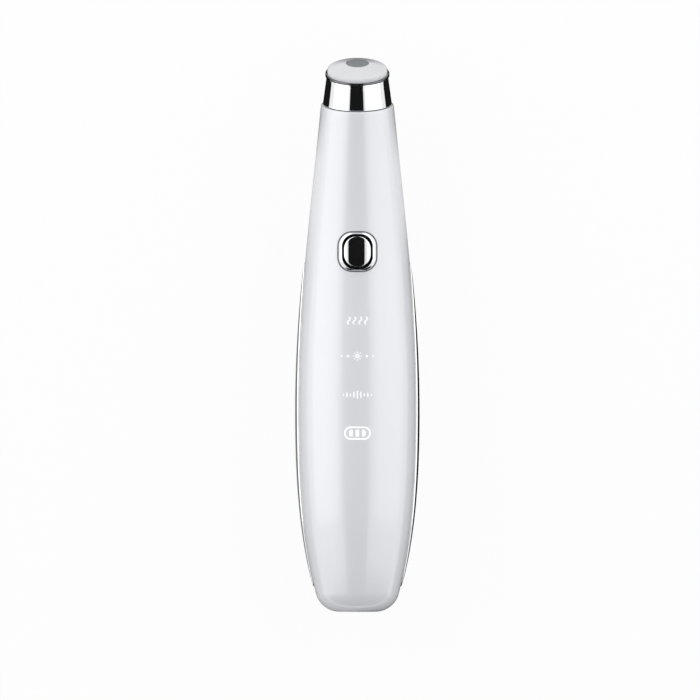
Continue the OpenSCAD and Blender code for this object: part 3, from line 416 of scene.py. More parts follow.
class Wand:
    """The wand's shape as formulas in metres. Its own frame has Y along the straight part of
    the centreline from the end face, Z towards the front and X to the right."""

    def __init__(self, scene):
        self.h, self.trim = scene.wand_housing, scene.wand_trim
        self.head, self.button = scene.wand_head, scene.wand_button
        h = self.h
        self.axis_z = h.belly_d / 2 - h.rest_flat
        self.bend_r = (h.body_len - h.bend_from) / h.neck_lean
        self.join_s = h.end_round * (1 - math.sin(h.end_flare))
        self.join_w = h.end_flat_w / 2 + h.end_round * math.cos(h.end_flare)
        self.join_d = h.end_flat_d / 2 + h.end_round * math.cos(h.end_flare)

    def place(self, points):
        """Moves points from the wand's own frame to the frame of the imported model."""
        return np.asarray(points) + [0, -HALF_LENGTH, self.axis_z]

    def half(self, s, flat, joined, belly, taper):
        """Half of the width or depth at a distance s along the centreline: a circle's arc round
        the end, then one cubic up to the belly and another down to the neck."""
        h = self.h
        s = np.asarray(s, float)
        arc = flat / 2 + np.sqrt(np.maximum(h.end_round**2 - (h.end_round - s) ** 2, 0))
        up = h.belly_at - self.join_s
        down = h.body_len - h.belly_at
        rise = cubic((s - self.join_s) / up, up, joined, belly / 2, math.tan(h.end_flare), 0)
        fall = cubic((s - h.belly_at) / down, down, belly / 2, h.neck_d / 2, 0, -taper)
        return np.where(s < self.join_s, arc, np.where(s < h.belly_at, rise, fall))

    def half_w(self, s):
        """Half of the width at a distance s."""
        h = self.h
        return self.half(s, h.end_flat_w, self.join_w, h.belly_w, h.neck_taper_w)

    def half_d(self, s):
        """Half of the depth at a distance s."""
        h = self.h
        return self.half(s, h.end_flat_d, self.join_d, h.belly_d, h.neck_taper_d)

    def lean(self, s):
        """The centreline's lean: none before the bend, then in step with the distance."""
        return np.maximum(np.asarray(s, float) - self.h.bend_from, 0) / self.bend_r

    def spine(self, s):
        """The centreline: straight, then an arc of the bend's radius."""
        s, a = np.asarray(s, float), self.lean(s)
        y = np.minimum(s, self.h.bend_from) + self.bend_r * np.sin(a)
        return np.stack([0 * s, y, self.bend_r * (1 - np.cos(a))], -1)

    def on_section(self, s, x, z):
        """The point x across and z towards the front in the cross-section at s."""
        s, x, z = np.broadcast_arrays(s, x, z)
        a = self.lean(s)
        return self.spine(s) + np.stack([x, -z * np.sin(a), z * np.cos(a)], -1)

    def front_z(self, x, y, inset=0.0):
        """Height of the front surface above a point in plan. The station over y is found by
        putting its own offset back in a few times, and the section there is an ellipse."""
        s = np.asarray(y, float)
        for _ in range(5):
            s = y + self.half_d(s) * np.sin(self.lean(s)) + s - self.spine(s)[..., 1]
        w, d = self.half_w(s) - inset, self.half_d(s) - inset
        z = d * np.sqrt(np.maximum(1 - (np.asarray(x) / w) ** 2, 0))
        return self.on_section(s, x, z)[..., 2]

    def leaf(self, s):
        """The trim's leaf shape: a half wave between its tips."""
        t = (np.asarray(s, float) - self.trim.start) / (self.trim.stop - self.trim.start)
        return np.sin(math.pi * np.clip(t, 0, 1))

    def trim_half(self, s):
        """Half of the trim's width: the leaf to a power below 1, which blunts its tips."""
        return self.trim.height / 2 * self.leaf(s) ** 0.6

    def trim_crown(self, s):
        """How far the trim stands out: the leaf to a small power, so nearly even."""
        return self.trim.proud * self.leaf(s) ** 0.25

    def trim_stations(self):
        """Stations along the trim, closer together towards its tips as a cosine makes them."""
        u = (1 - np.cos(np.linspace(0, math.pi, 201))) / 2
        return self.trim.start + (self.trim.stop - self.trim.start) * u

    # The head

    def head_lean(self, u):
        """The collar's lean at a distance u along it, from the neck's to that of its top."""
        g = self.head
        return self.h.neck_lean + (g.collar_lean - self.h.neck_lean) * u / g.collar_len

    def head_spine(self, u):
        """The collar's centreline: an arc from the neck's lean to the lean of its top."""
        g, h = self.head, self.h
        r = g.collar_len / (g.collar_lean - h.neck_lean)
        a = self.head_lean(np.asarray(u, float))
        along = r * (np.sin(a) - math.sin(h.neck_lean))
        up = r * (math.cos(h.neck_lean) - np.cos(a))
        return self.spine(h.body_len) + np.stack([0 * a, along, up], -1)

    def face_at(self):
        """Middle of the head's face: the rim's height above the collar, along the lean halfway
        between the two."""
        mid = (self.head.collar_lean + self.head.face_lean) / 2
        step = self.head.rim_h * np.array([0, math.cos(mid), math.sin(mid)])
        return self.head_spine(self.head.collar_len) + step

    def face_point(self, x, f, h):
        """A point above the head's face: x across, f towards the front and h outwards."""
        x, f, h = np.broadcast_arrays(x, f, h)
        a = self.head.face_lean
        y = h * math.cos(a) - f * math.sin(a)
        z = h * math.sin(a) + f * math.cos(a)
        return self.face_at() + np.stack([x, y, z], -1)

    def turned(self, profile, sides):
        """A profile of [radius, height] rows turned about the axis of the head's face."""
        a = np.arange(sides) / sides * 2 * math.pi
        r, h = profile[:, :1], profile[:, 1:]
        return self.face_point(r * np.cos(a), -r * np.sin(a), h + 0 * a)

    def dome_curve(self, inset, steps=14):
        """The light ring's outer curve as [radius, height]: over its shoulder, then up to the
        contact disc."""
        g = self.head
        ring = g.rim_d / 2 - g.rim_w - g.gap
        inner = g.contact_d / 2 + g.gap
        wall = ring - inset
        foot = [wall, (g.shoulder_h - inset) / 3]
        corner = [wall, g.shoulder_h - inset]
        top = np.array([inner, g.dome_h - inset])
        slope = (top[1] - corner[1]) / (wall - inner)
        crown = np.array([wall - g.shoulder_w, corner[1] + g.shoulder_w * slope])
        mid = (crown + top) / 2 + [0, g.bulge]
        return np.vstack([
            bezier(foot, corner, crown, np.linspace(0, 1, steps)),
            bezier(crown, mid, top, np.linspace(0, 1, steps)[1:]),
        ])

    # The button

    def button_top(self):
        """Height of the skin in the middle of the button."""
        return float(self.front_z(0.0, self.button.at))

    def over_button(self, plan, height):
        """Points at a height above the housing's skin at places in plan round the button."""
        y = plan[..., 1] + self.button.at
        z = self.front_z(plan[..., 0], y) + height
        return np.stack([plan[..., 0], y, z], -1)

    def button_level(self, plan, height):
        """The same at one level, measured from the skin in the middle of the button."""
        z = self.button_top() + height + 0 * plan[..., 0]
        return np.stack([plan[..., 0], plan[..., 1] + self.button.at, z], -1)


# ---- Materials ----


def node_group(name, inputs, outputs):
    """A new shader group with its sockets, and the nodes that carry its inputs and outputs."""
    tree = bpy.data.node_groups.new(name, "ShaderNodeTree")
    for label, kind, value in inputs:
        socket = tree.interface.new_socket(label, in_out="INPUT", socket_type=kind)
        if value is not None:
            socket.default_value = value
    for label, kind in outputs:
        tree.interface.new_socket(label, in_out="OUTPUT", socket_type=kind)
    return tree, tree.nodes.new("NodeGroupInput"), tree.nodes.new("NodeGroupOutput")


def noise(tree, vector, scale, detail=4.0, rough=0.55):
    """The value of a noise texture whose scale is a number or a socket."""
    node = tree.nodes.new("ShaderNodeTexNoise")
    node.inputs["Detail"].default_value = detail
    node.inputs["Roughness"].default_value = rough
    tree.links.new(vector, node.inputs["Vector"])
    if isinstance(scale, float):
        node.inputs["Scale"].default_value = scale
    else:
        tree.links.new(scale, node.inputs["Scale"])
    return node.outputs["Fac"]


def mapped(tree, value, low, high, to_low, to_high):
    """Value carried from one range to another, each end a number or a socket."""
    node = tree.nodes.new("ShaderNodeMapRange")
    tree.links.new(value, node.inputs["Value"])
    names = ("From Min", "From Max", "To Min", "To Max")
    for label, end in zip(names, (low, high, to_low, to_high)):
        if isinstance(end, (int, float)):
            node.inputs[label].default_value = end
        else:
            tree.links.new(end, node.inputs[label])
    return node.outputs["Result"]


def combined(tree, operation, *values):
    """The result of one sum on sockets."""
    node = tree.nodes.new("ShaderNodeMath")
    node.operation = operation
    for value, socket in zip(values, node.inputs):
        tree.links.new(value, socket)
    return node.outputs[0]


def grain_group():
    """Cloudy mix of two colours, with a roughness that follows it and a fine height."""
    name = "Moulded Grain"
    if name in bpy.data.node_groups:
        return bpy.data.node_groups[name]
    tree, start, end = node_group(
        name,
        [
            ("Vector", "NodeSocketVector", None),
            ("Colour", "NodeSocketColor", (0.8, 0.8, 0.8, 1)),
            ("Second Colour", "NodeSocketColor", (0.7, 0.7, 0.7, 1)),
            ("Cloud Scale", "NodeSocketFloat", 60.0),
            ("Grain Scale", "NodeSocketFloat", 2500.0),
            ("Low Roughness", "NodeSocketFloat", 0.2),
            ("High Roughness", "NodeSocketFloat", 0.3),
        ],
        [("Colour", "NodeSocketColor"), ("Roughness", "NodeSocketFloat"),
         ("Height", "NodeSocketFloat")],
    )
    inputs = start.outputs
    cloud = noise(tree, inputs["Vector"], inputs["Cloud Scale"], 3.0)
    fine = noise(tree, inputs["Vector"], inputs["Grain Scale"], 2.0)
    mask = mapped(tree, cloud, 0.35, 0.65, 0.0, 1.0)
    mix = tree.nodes.new("ShaderNodeMix")
    mix.data_type = "RGBA"
    tree.links.new(mask, mix.inputs["Factor"])
    tree.links.new(inputs["Colour"], mix.inputs["A"])
    tree.links.new(inputs["Second Colour"], mix.inputs["B"])
    rough = mapped(
        tree, fine, 0.3, 0.7, inputs["Low Roughness"], inputs["High Roughness"])
    tree.links.new(mix.outputs["Result"], end.inputs["Colour"])
    tree.links.new(rough, end.inputs["Roughness"])
    tree.links.new(fine, end.inputs["Height"])
    return tree


def wear_group():
    """Faint wiping marks: a stretched fine noise shown only inside the patches of a coarse one."""
    name = "Wiping Marks"
    if name in bpy.data.node_groups:
        return bpy.data.node_groups[name]
    tree, start, end = node_group(
        name,
        [
            ("Vector", "NodeSocketVector", None),
            ("Base", "NodeSocketFloat", 0.1),
            ("Amount", "NodeSocketFloat", 0.1),
            ("Patch Scale", "NodeSocketFloat", 90.0),
            ("Stretch", "NodeSocketVector", (1.0, 8.0, 1.0)),
        ],
        [("Roughness", "NodeSocketFloat")],
    )
    inputs = start.outputs
    stretch = tree.nodes.new("ShaderNodeVectorMath")
    stretch.operation = "MULTIPLY"
    tree.links.new(inputs["Vector"], stretch.inputs[0])
    tree.links.new(inputs["Stretch"], stretch.inputs[1])
    lines = mapped(tree, noise(tree, stretch.outputs[0], 900.0, 3.0), 0.45, 0.7, 0.0, 1.0)
    patches = mapped(
        tree, noise(tree, inputs["Vector"], inputs["Patch Scale"], 2.0), 0.4, 0.7, 0.0, 1.0)
    mask = combined(tree, "MULTIPLY", lines, patches)
    rough = combined(tree, "MULTIPLY_ADD", mask, inputs["Amount"], inputs["Base"])
    tree.links.new(rough, end.inputs["Roughness"])
    return tree


def place_group(tree, group, vector, values):
    """Puts a group into a material and gives its inputs their values."""
    node = tree.nodes.new("ShaderNodeGroup")
    node.node_tree = group
    tree.links.new(vector, node.inputs["Vector"])
    for label, value in values.items():
        node.inputs[label].default_value = value
    return node


def bump(tree, height, strength, distance):
    """A normal that follows a fine height."""
    node = tree.nodes.new("ShaderNodeBump")
    node.inputs["Strength"].default_value = strength
    node.inputs["Distance"].default_value = distance
    tree.links.new(height, node.inputs["Height"])
    return node.outputs["Normal"]


def opaque(colour):
    """A colour with an alpha of 1."""
    return (*colour, 1.0)


def dimmed(colour, share):
    """A share of a colour, with an alpha of 1."""
    return (*[c * share for c in colour], 1.0)


def start_material(name):
    """An empty material: its tree, the Principled shader and the object coordinates."""
    made = bpy.data.materials.new(name)
    made.use_nodes = True
    tree = made.node_tree
    shader = tree.nodes["Principled BSDF"]
    where = tree.nodes.new("ShaderNodeTexCoord").outputs["Object"]
    return made, tree, shader, where


def grained(name, colour, second, cloud, fine, low, high):
    """Starts a material of two mixed colours, the second a share of the first, with the noise
    scales of their cloud and of the grain and with the grain's two roughnesses."""
    made, tree, shader, where = start_material(name)
    grain = place_group(tree, grain_group(), where, {
        "Colour": opaque(colour), "Second Colour": dimmed(colour, second),
        "Cloud Scale": cloud, "Grain Scale": fine,
        "Low Roughness": low, "High Roughness": high})
    for label, socket in (("Colour", "Base Color"), ("Roughness", "Roughness")):
        tree.links.new(grain.outputs[label], shader.inputs[socket])
    return made, tree, shader, grain.outputs


def once(name, build, *values):
    """The material of that name, built when it is first asked for."""
    return bpy.data.materials.get(name) or build(name, *values)


def pearl(scene):
    """The finish of the two shells."""
    return once("pearl_white", pearl_material, scene.wand_finish)


def bright(scene):
    """The finish of the trims, the collar and the button."""
    return once("bright_plating", plated_material, scene.wand_finish.plating)


def pearl_material(name, finish):
    """Pearl lacquer: white with a share of mica, which reflects softly, under a clear coat."""
    made, tree, shader, grain = grained(name, finish.pearl, 0.985, 45.0, 6000.0, 0.36, 0.42)
    mica = finish.pearl_sheen
    flake = mapped(tree, grain["Height"], 0.3, 0.7, mica * 0.85, mica * 1.15)
    tree.links.new(flake, shader.inputs["Metallic"])
    shader.inputs["Coat Weight"].default_value = 1.0
    shader.inputs["Coat Roughness"].default_value = 0.02
    shader.inputs["Coat IOR"].default_value = 1.6
    tree.links.new(bump(tree, grain["Height"], 0.06, 0.00002), shader.inputs["Normal"])
    return made


def plated_material(name, colour):
    """Bright plating with faint wiping marks in its roughness."""
    made, tree, shader, where = start_material(name)
    marks = place_group(tree, wear_group(), where, {"Base": 0.035, "Amount": 0.05})
    grain = place_group(tree, grain_group(), where, {
        "Colour": opaque(colour), "Second Colour": dimmed(colour, 0.96),
        "Cloud Scale": 150.0})
    tree.links.new(grain.outputs["Colour"], shader.inputs["Base Color"])
    tree.links.new(marks.outputs["Roughness"], shader.inputs["Roughness"])
    shader.inputs["Metallic"].default_value = 1.0
    return made


def milky_material(name, finish):
    """Milky plastic: light goes a little way in and its skin is satin. Where it is seen edge on,
    its colour is darkened: painted shade along its outline."""
    made, tree, shader, grain = grained(name, finish.milky, 0.97, 260.0, 5000.0, 0.42, 0.5)
    edge = tree.nodes.new("ShaderNodeLayerWeight")
    edge.inputs["Blend"].default_value = 0.5
    # Painted shade: the colour darkens towards a fifth of itself where the surface is seen edge on
    dark = mapped(tree, edge.outputs["Facing"], 0.7, 0.95, 0.0, 0.85)
    mix = tree.nodes.new("ShaderNodeMix")
    mix.data_type = "RGBA"
    tree.links.new(dark, mix.inputs["Factor"])
    tree.links.new(grain["Colour"], mix.inputs["A"])
    mix.inputs["B"].default_value = dimmed(finish.milky, 0.2)
    tree.links.new(mix.outputs["Result"], shader.inputs["Base Color"])
    shader.inputs["Subsurface Weight"].default_value = 0.35
    shader.inputs["Subsurface Radius"].default_value = (0.9, 0.85, 0.8)
    shader.inputs["Subsurface Scale"].default_value = 0.0012
    shader.inputs["Specular IOR Level"].default_value = 0.2
    return made


def satin_metal_material(name, colour, low, high):
    """Satin metal: fine rings of turning are too fine to see, so the grain is even."""
    made, tree, shader, grain = grained(name, colour, 0.9, 700.0, 9000.0, low, high)
    shader.inputs["Metallic"].default_value = 1.0
    tree.links.new(bump(tree, grain["Height"], 0.15, 0.00003), shader.inputs["Normal"])
    return made


def print_material(name, finish):
    """White lacquer print with a faint glow of its own: painted light, which makes it read brighter
    than the housing.
    """
    made, tree, shader, grain = grained(name, finish.ink, 0.97, 900.0, 7000.0, 0.35, 0.45)
    # Painted light: the print glows, though nothing behind it lights it
    tree.links.new(grain["Colour"], shader.inputs["Emission Color"])
    shader.inputs["Emission Strength"].default_value = 0.25
    return made


def plain_material(name, colour, low, high, metallic=0.0):
    """Moulded, painted or drawn material of an inner part, with its own colour and gloss."""
    made, tree, shader, grain = grained(name, colour, 0.86, 120.0, 3000.0, low, high)
    tree.links.new(bump(tree, grain["Height"], 0.2, 0.00003), shader.inputs["Normal"])
    shader.inputs["Metallic"].default_value = metallic
    return made


def board_material(name):
    """Solder mask over tracks: a brick pattern of the board's own pitch marks the tracks."""
    made, tree, shader, where = start_material(name)
    tracks = tree.nodes.new("ShaderNodeTexBrick")
    tracks.inputs["Scale"].default_value = 420.0
    tracks.inputs["Mortar Size"].default_value = 0.06
    tracks.inputs["Color1"].default_value = (0.015, 0.12, 0.05, 1)
    tracks.inputs["Color2"].default_value = (0.02, 0.15, 0.065, 1)
    tracks.inputs["Mortar"].default_value = (0.05, 0.28, 0.12, 1)
    tree.links.new(where, tracks.inputs["Vector"])
    tree.links.new(tracks.outputs["Color"], shader.inputs["Base Color"])
    tree.links.new(
        mapped(tree, noise(tree, where, 2000.0), 0.3, 0.7, 0.2, 0.35), shader.inputs["Roughness"])
    tree.links.new(bump(tree, tracks.outputs["Fac"], 0.3, 0.00003), shader.inputs["Normal"])
    return made


# ---- Operators ----


class WAND_OT_studio(Operator):
    """Sets the camera, the floor, two large soft panels, the dark cards and the surroundings"""

    bl_idname = "wand.studio"
    bl_label = "Studio"

    def execute(self, context):
        scene = context.scene
        look = scene.wand_studio
        scene.view_settings.view_transform = "Standard"
        self.camera(scene, look)
        self.surroundings(scene, look)
        self.floor(scene, look)
        self.panel(scene, look, "left_panel", -1, look.left)
        self.panel(scene, look, "right_panel", 1, look.right)
        self.side_cards(scene, look)
        self.end_card(scene)
        return {"FINISHED"}

    def camera(self, scene, look):
        """A long lens straight above the wand, as far off as its field asks for."""
        data = bpy.data.cameras.new("camera")
        data.type = "PERSP"
        data.sensor_width = 36.0
        data.lens = look.lens
        data.clip_start, data.clip_end = 0.05, 20.0
        obj = bpy.data.objects.new("camera", data)
        far = look.view * look.lens / data.sensor_width
        obj.location = (look.aim_x, look.aim_y, Wand(scene).axis_z + far)
        scene.collection.objects.link(obj)
        scene.camera = obj

    def surroundings(self, scene, look):
        """A white surround for the camera and for reflections, and a soft grey fill light."""
        world = bpy.data.worlds.new("studio")
        world.use_nodes = True
        tree = world.node_tree
        back = tree.nodes["Background"]
        level = mapped(tree, self.seen_rays(tree), 0.0, 1.0, look.fill, 1.0)
        back.inputs["Color"].default_value = (1, 1, 1, 1)
        tree.links.new(level, back.inputs["Strength"])
        scene.world = world

    def seen_rays(self, tree):
        """1 for rays of the camera and of sharp reflections and glass, and 0 for the rest."""
        rays = tree.nodes.new("ShaderNodeLightPath").outputs
        seen = combined(tree, "MAXIMUM", rays["Is Camera Ray"], rays["Is Glossy Ray"])
        return combined(tree, "MAXIMUM", seen, rays["Is Transmission Ray"])

    def sheet(self, scene, name, corners, material):
        """A flat four-cornered piece of the stage."""
        mesh = bpy.data.meshes.new(name)
        mesh.from_pydata(np.array(corners), [], [(0, 1, 2, 3)])
        mesh.materials.append(material)
        obj = bpy.data.objects.new(name, mesh)
        scene.collection.objects.link(obj)
        return obj

    def level_corners(self, x0, x1, y0, y1, z=0.0):
        """The corners of a level rectangle."""
        return [[x0, y0, z], [x1, y0, z], [x1, y1, z], [x0, y1, z]]

    def floor(self, scene, look):
        """White paper with a shadow, just below the resting flat."""
        half, below = 6.0, -0.00002
        paper = bpy.data.materials.new("white_paper")
        paper.use_nodes = True
        tree = paper.node_tree
        shader = tree.nodes["Principled BSDF"]
        shader.inputs["Base Color"].default_value = (0.86, 0.86, 0.86, 1)
        shader.inputs["Roughness"].default_value = 0.9
        shader.inputs["Specular IOR Level"].default_value = 0.1
        glow = tree.nodes.new("ShaderNodeEmission")
        glow.inputs["Strength"].default_value = 1.0
        mix = tree.nodes.new("ShaderNodeMixShader")
        share = mapped(tree, self.seen_rays(tree), 0.0, 1.0, 0.0, look.floor_glow)
        tree.links.new(share, mix.inputs["Fac"])
        tree.links.new(shader.outputs["BSDF"], mix.inputs[1])
        tree.links.new(glow.outputs["Emission"], mix.inputs[2])
        tree.links.new(mix.outputs["Shader"], tree.nodes["Material Output"].inputs["Surface"])
        self.sheet(scene, "floor", self.level_corners(-half, half, -half, half, below), paper)

    def panel(self, scene, look, name, side, level):
        """A tall soft panel from the slot's edge down to the floor, facing the wand. It glows
        evenly but for a fade at the slot's side."""
        start = look.slot - side * look.slot_shift
        middle = (start + look.low) / 2
        half = look.far * math.tan((look.low - start) / 2)
        glow = bpy.data.materials.new(name)
        glow.use_nodes = True
        tree = glow.node_tree
        tree.nodes.remove(tree.nodes["Principled BSDF"])
        lamp = tree.nodes.new("ShaderNodeEmission")
        split = tree.nodes.new("ShaderNodeSeparateXYZ")
        where = tree.nodes.new("ShaderNodeTexCoord").outputs["Object"]
        tree.links.new(where, split.inputs["Vector"])
        edge, inner = -side * half, -side * half * (1 - 2 * look.fade)
        edge_level = level * 0.4
        power = mapped(tree, split.outputs["X"], edge, inner, edge_level, level)
        tree.links.new(power, lamp.inputs["Strength"])
        tree.links.new(lamp.outputs[0], tree.nodes["Material Output"].inputs["Surface"])
        corners = self.level_corners(-half, half, -look.reach, look.reach)
        obj = self.sheet(scene, name, corners, glow)
        way = Vector((side * math.sin(middle), 0, math.cos(middle)))
        obj.location = way * look.far + Vector((0, look.lift, 0))
        obj.rotation_euler = (0, side * middle, 0)
        obj.visible_camera = False

    def card(self, scene, name, corners, shade):
        """A matt card that only reflections meet, with its tree and its Object coordinates."""
        made, tree, shader, where = start_material(name)
        shader.inputs["Base Color"].default_value = opaque([shade] * 3)
        shader.inputs["Roughness"].default_value = 0.9
        shader.inputs["Specular IOR Level"].default_value = 0.0
        obj = self.sheet(scene, name, corners, made)
        obj.visible_camera = obj.visible_shadow = False
        obj.visible_diffuse = obj.visible_transmission = False
        return obj, tree, shader, where

    def side_cards(self, scene, look):
        """A dark card over the slot between the panels, and one low on each side of the wand,
        which give plated edges their dark line. Those turn light beside the neck, by their
        Object Y, and dark beside the collar."""
        black, light = 0.012, 0.7
        left = look.card_z * math.tan(look.slot + look.slot_shift)
        right = look.card_z * math.tan(look.slot - look.slot_shift)
        corners = self.level_corners(-left, right, -2.0, 2.0, look.card_z)
        self.card(scene, "slot_card", corners, black)
        foot, top, low = -0.12, 0.088, 0.0002
        neck, collar = (0.018, 0.034), (0.046, 0.056)
        for name, shade, x0, x1 in (
                ("left_card", 0.26, -look.flag, 0.0), ("right_card", black, 0.0, look.flag)):
            corners = self.level_corners(x0, x1, foot, top, low)
            _, tree, shader, where = self.card(scene, name, corners, shade)
            split = tree.nodes.new("ShaderNodeSeparateXYZ")
            tree.links.new(where, split.inputs["Vector"])
            lit = mapped(tree, split.outputs["Y"], *neck, shade, light)
            level = mapped(tree, split.outputs["Y"], *collar, lit, black)
            tree.links.new(level, shader.inputs["Base Color"])

    def end_card(self, scene):
        """An upright card beyond the lower end, dark round the middle of its foot and clear
        outside that, by the distance from there."""
        reach, dark_to, beside, beyond = 0.34, 0.2, 0.05, -0.18
        corners = [[-reach, 0, 0], [reach, 0, 0], [reach, 0, reach], [-reach, 0, reach]]
        obj, tree, shader, where = self.card(scene, "end_card", corners, 0.012)
        radius = tree.nodes.new("ShaderNodeVectorMath")
        radius.operation = "LENGTH"
        tree.links.new(where, radius.inputs[0])
        dark = mapped(tree, radius.outputs["Value"], dark_to, reach, 1.0, 0.0)
        tree.links.new(dark, shader.inputs["Alpha"])
        obj.location = (beside, beyond, 0)


def shell_stations(wand):
    """Stations along the housing: round the end, to the trim's tip, along the trim and on to
    the mouth."""
    h, trim = wand.h, wand.trim
    turn = np.linspace(math.pi / 2, h.end_flare, 15)
    end = h.end_round * (1 - np.sin(turn))
    low = np.linspace(end[-1], trim.start, 4)[1:-1]
    high = np.linspace(trim.stop, h.body_len - h.mouth_round, 46)[1:]
    return np.concatenate([end, low, wand.trim_stations(), high])


def section_sizes(wand, s, inset):
    """Half of the width and depth of the skin, or of the wall's inside at an inset. Round the
    end the inside follows the same centre with a smaller radius."""
    h = wand.h
    w, d = wand.half_w(s) - inset, wand.half_d(s) - inset
    if inset:
        near = np.maximum(h.end_round - s, 0)
        arc = np.sqrt(np.maximum((h.end_round - inset) ** 2 - near**2, 0))
        rounded = s < wand.join_s + inset
        w = np.where(rounded, np.minimum(w, h.end_flat_w / 2 + arc), w)
        d = np.where(rounded, np.minimum(d, h.end_flat_d / 2 + arc), d)
    return w, d


def skin(wand, side, inset, stations, cols):
    """One half of the housing's skin as a grid: a row for each station and a column for each
    angle from parting edge to parting edge, where the section is an ellipse. The columns at
    the edges turn in with the seam's radius. Towards the mouth the rows are drawn back at the
    front, by the sine of the angle."""
    h = wand.h
    edge_cols = 4
    s = np.repeat(np.maximum(stations, inset)[:, None], cols, 1)
    w, d = section_sizes(wand, s, inset)
    open_at = np.arcsin(np.minimum(wand.trim_half(s) / d, 0.9))
    r = 0.0 if inset else h.seam_round
    turn = np.linspace(math.pi / 2, 0, edge_cols + 1)[:-1]
    drop, step = np.zeros(cols), np.zeros(cols)
    drop[:edge_cols], step[:edge_cols] = r * (1 - np.cos(turn)), r * (1 - np.sin(turn))
    drop[-edge_cols:], step[-edge_cols:] = drop[:edge_cols][::-1], step[:edge_cols][::-1]
    column = np.arange(cols)
    share = (column - edge_cols) / (cols - 2 * edge_cols - 1)
    edge = open_at + r / d
    angle = edge + (math.pi - 2 * edge) * share
    angle = np.where(column < edge_cols, open_at + step / d, angle)
    angle = np.where(column >= cols - edge_cols, math.pi - open_at - step / d, angle)
    if side > 0:
        near_mouth = np.clip((s - h.mouth_from) / (h.body_len - h.mouth_from), 0, 1) ** 2
        s = s - h.mouth_drop * np.sin(angle) * near_mouth
        w, d = section_sizes(wand, s, inset)
    return wand.on_section(s, (w - drop) * np.cos(angle), side * (d - drop) * np.sin(angle))


def port_row(wand, side, cols, depth):
    """Half of the port's outline, walked from one side to the other, at a depth in the wall."""
    h = wand.h
    w, t, cut = h.socket_w / 2, h.socket_h / 2, h.socket_corner
    if side > 0:
        knots = np.array([[w, 0], [w, t - cut], [w - cut, t], [cut - w, t], [-w, t - cut], [-w, 0]])
    else:
        knots = np.array([[w, 0], [w, -t], [-w, -t], [-w, 0]])
    walk = np.concatenate([[0], np.cumsum(np.linalg.norm(np.diff(knots, axis=0), axis=1))])
    at = np.round(walk / walk[-1] * (cols - 1))
    place = np.arange(cols)
    x, z = np.interp(place, at, knots[:, 0]), np.interp(place, at, knots[:, 1])
    return np.stack([x, np.full(cols, depth), z], -1)


def mouth_rows(wand, side, cols):
    """The last rows of the outer and of the inner skin. A quarter circle of the mouth's radius
    draws the outer ones in towards the centreline."""
    r = wand.h.mouth_round
    outer, inner = [], []
    for turn in np.linspace(0, math.pi / 2, 6)[1:]:
        s = np.array([wand.h.body_len - r + r * math.sin(turn)])
        middle = wand.spine(s[0])
        away = skin(wand, side, 0.0, s, cols)[0] - middle
        size = np.linalg.norm(away, axis=1, keepdims=True)
        outer.append(middle + away * (1 - r * (1 - math.cos(turn)) / size))
        inner.append(skin(wand, side, wand.h.wall, s, cols)[0])
    return outer, inner


def half_shell(wand, side, cols=73):
    """One moulded half: outer and inner skin, the wall of the port, the parting faces and the
    mouth, and in the front half the button's window with its stepped seat."""
    stations = shell_stations(wand)
    end_face = np.linspace(0, 1, 4)[:-1, None, None]
    window_half = 0.0079
    grids = []
    for inset, mouth in zip((0.0, wand.h.wall), mouth_rows(wand, side, cols)):
        rows = skin(wand, side, inset, stations, cols)
        port = port_row(wand, side, cols, inset)
        grids.append(np.concatenate([port + (rows[0] - port) * end_face, rows, mouth]))
    outer, inner = grids
    if side < 0:
        outer[..., 2] = np.maximum(outer[..., 2], -wand.axis_z)
    made = Surface()
    out, into = made.add(outer), made.add(inner)
    window = None
    if side > 0:
        window = window_cells(wand, outer, window_half)
        button_pocket(wand, made, out, into, outer, inner, window)
    made.quads(out, hole=window)
    made.quads(into, hole=window)
    for a, b in ((out[:, 0], into[:, 0]), (out[:, -1], into[:, -1]), (out[-1], into[-1]),
                 (out[0], into[0])):
        made.quads(np.stack([a, b]))
    made.points = [wand.place(p) for p in made.points]
    return made


def window_cells(wand, grid, half):
    """The rows and columns of a grid that frame the button, at least half away each way."""
    middle = grid[:, grid.shape[1] // 2]
    rows = np.where(np.abs(middle[:, 1] - wand.button.at) < half)[0]
    near = grid[rows[len(rows) // 2]]
    cols = np.where((np.abs(near[:, 0]) < half) & (near[:, 2] > 0))[0]
    return rows[0] - 1, rows[-1] + 1, cols[0] - 1, cols[-1] + 1


def frame_loop(numbers, cells):
    """The loop of point numbers round those rows and columns."""
    i0, i1, j0, j1 = cells
    return np.concatenate([
        numbers[i0, j0:j1], numbers[i0:i1, j1], numbers[i1, j1:j0:-1], numbers[i1:i0:-1, j0]])


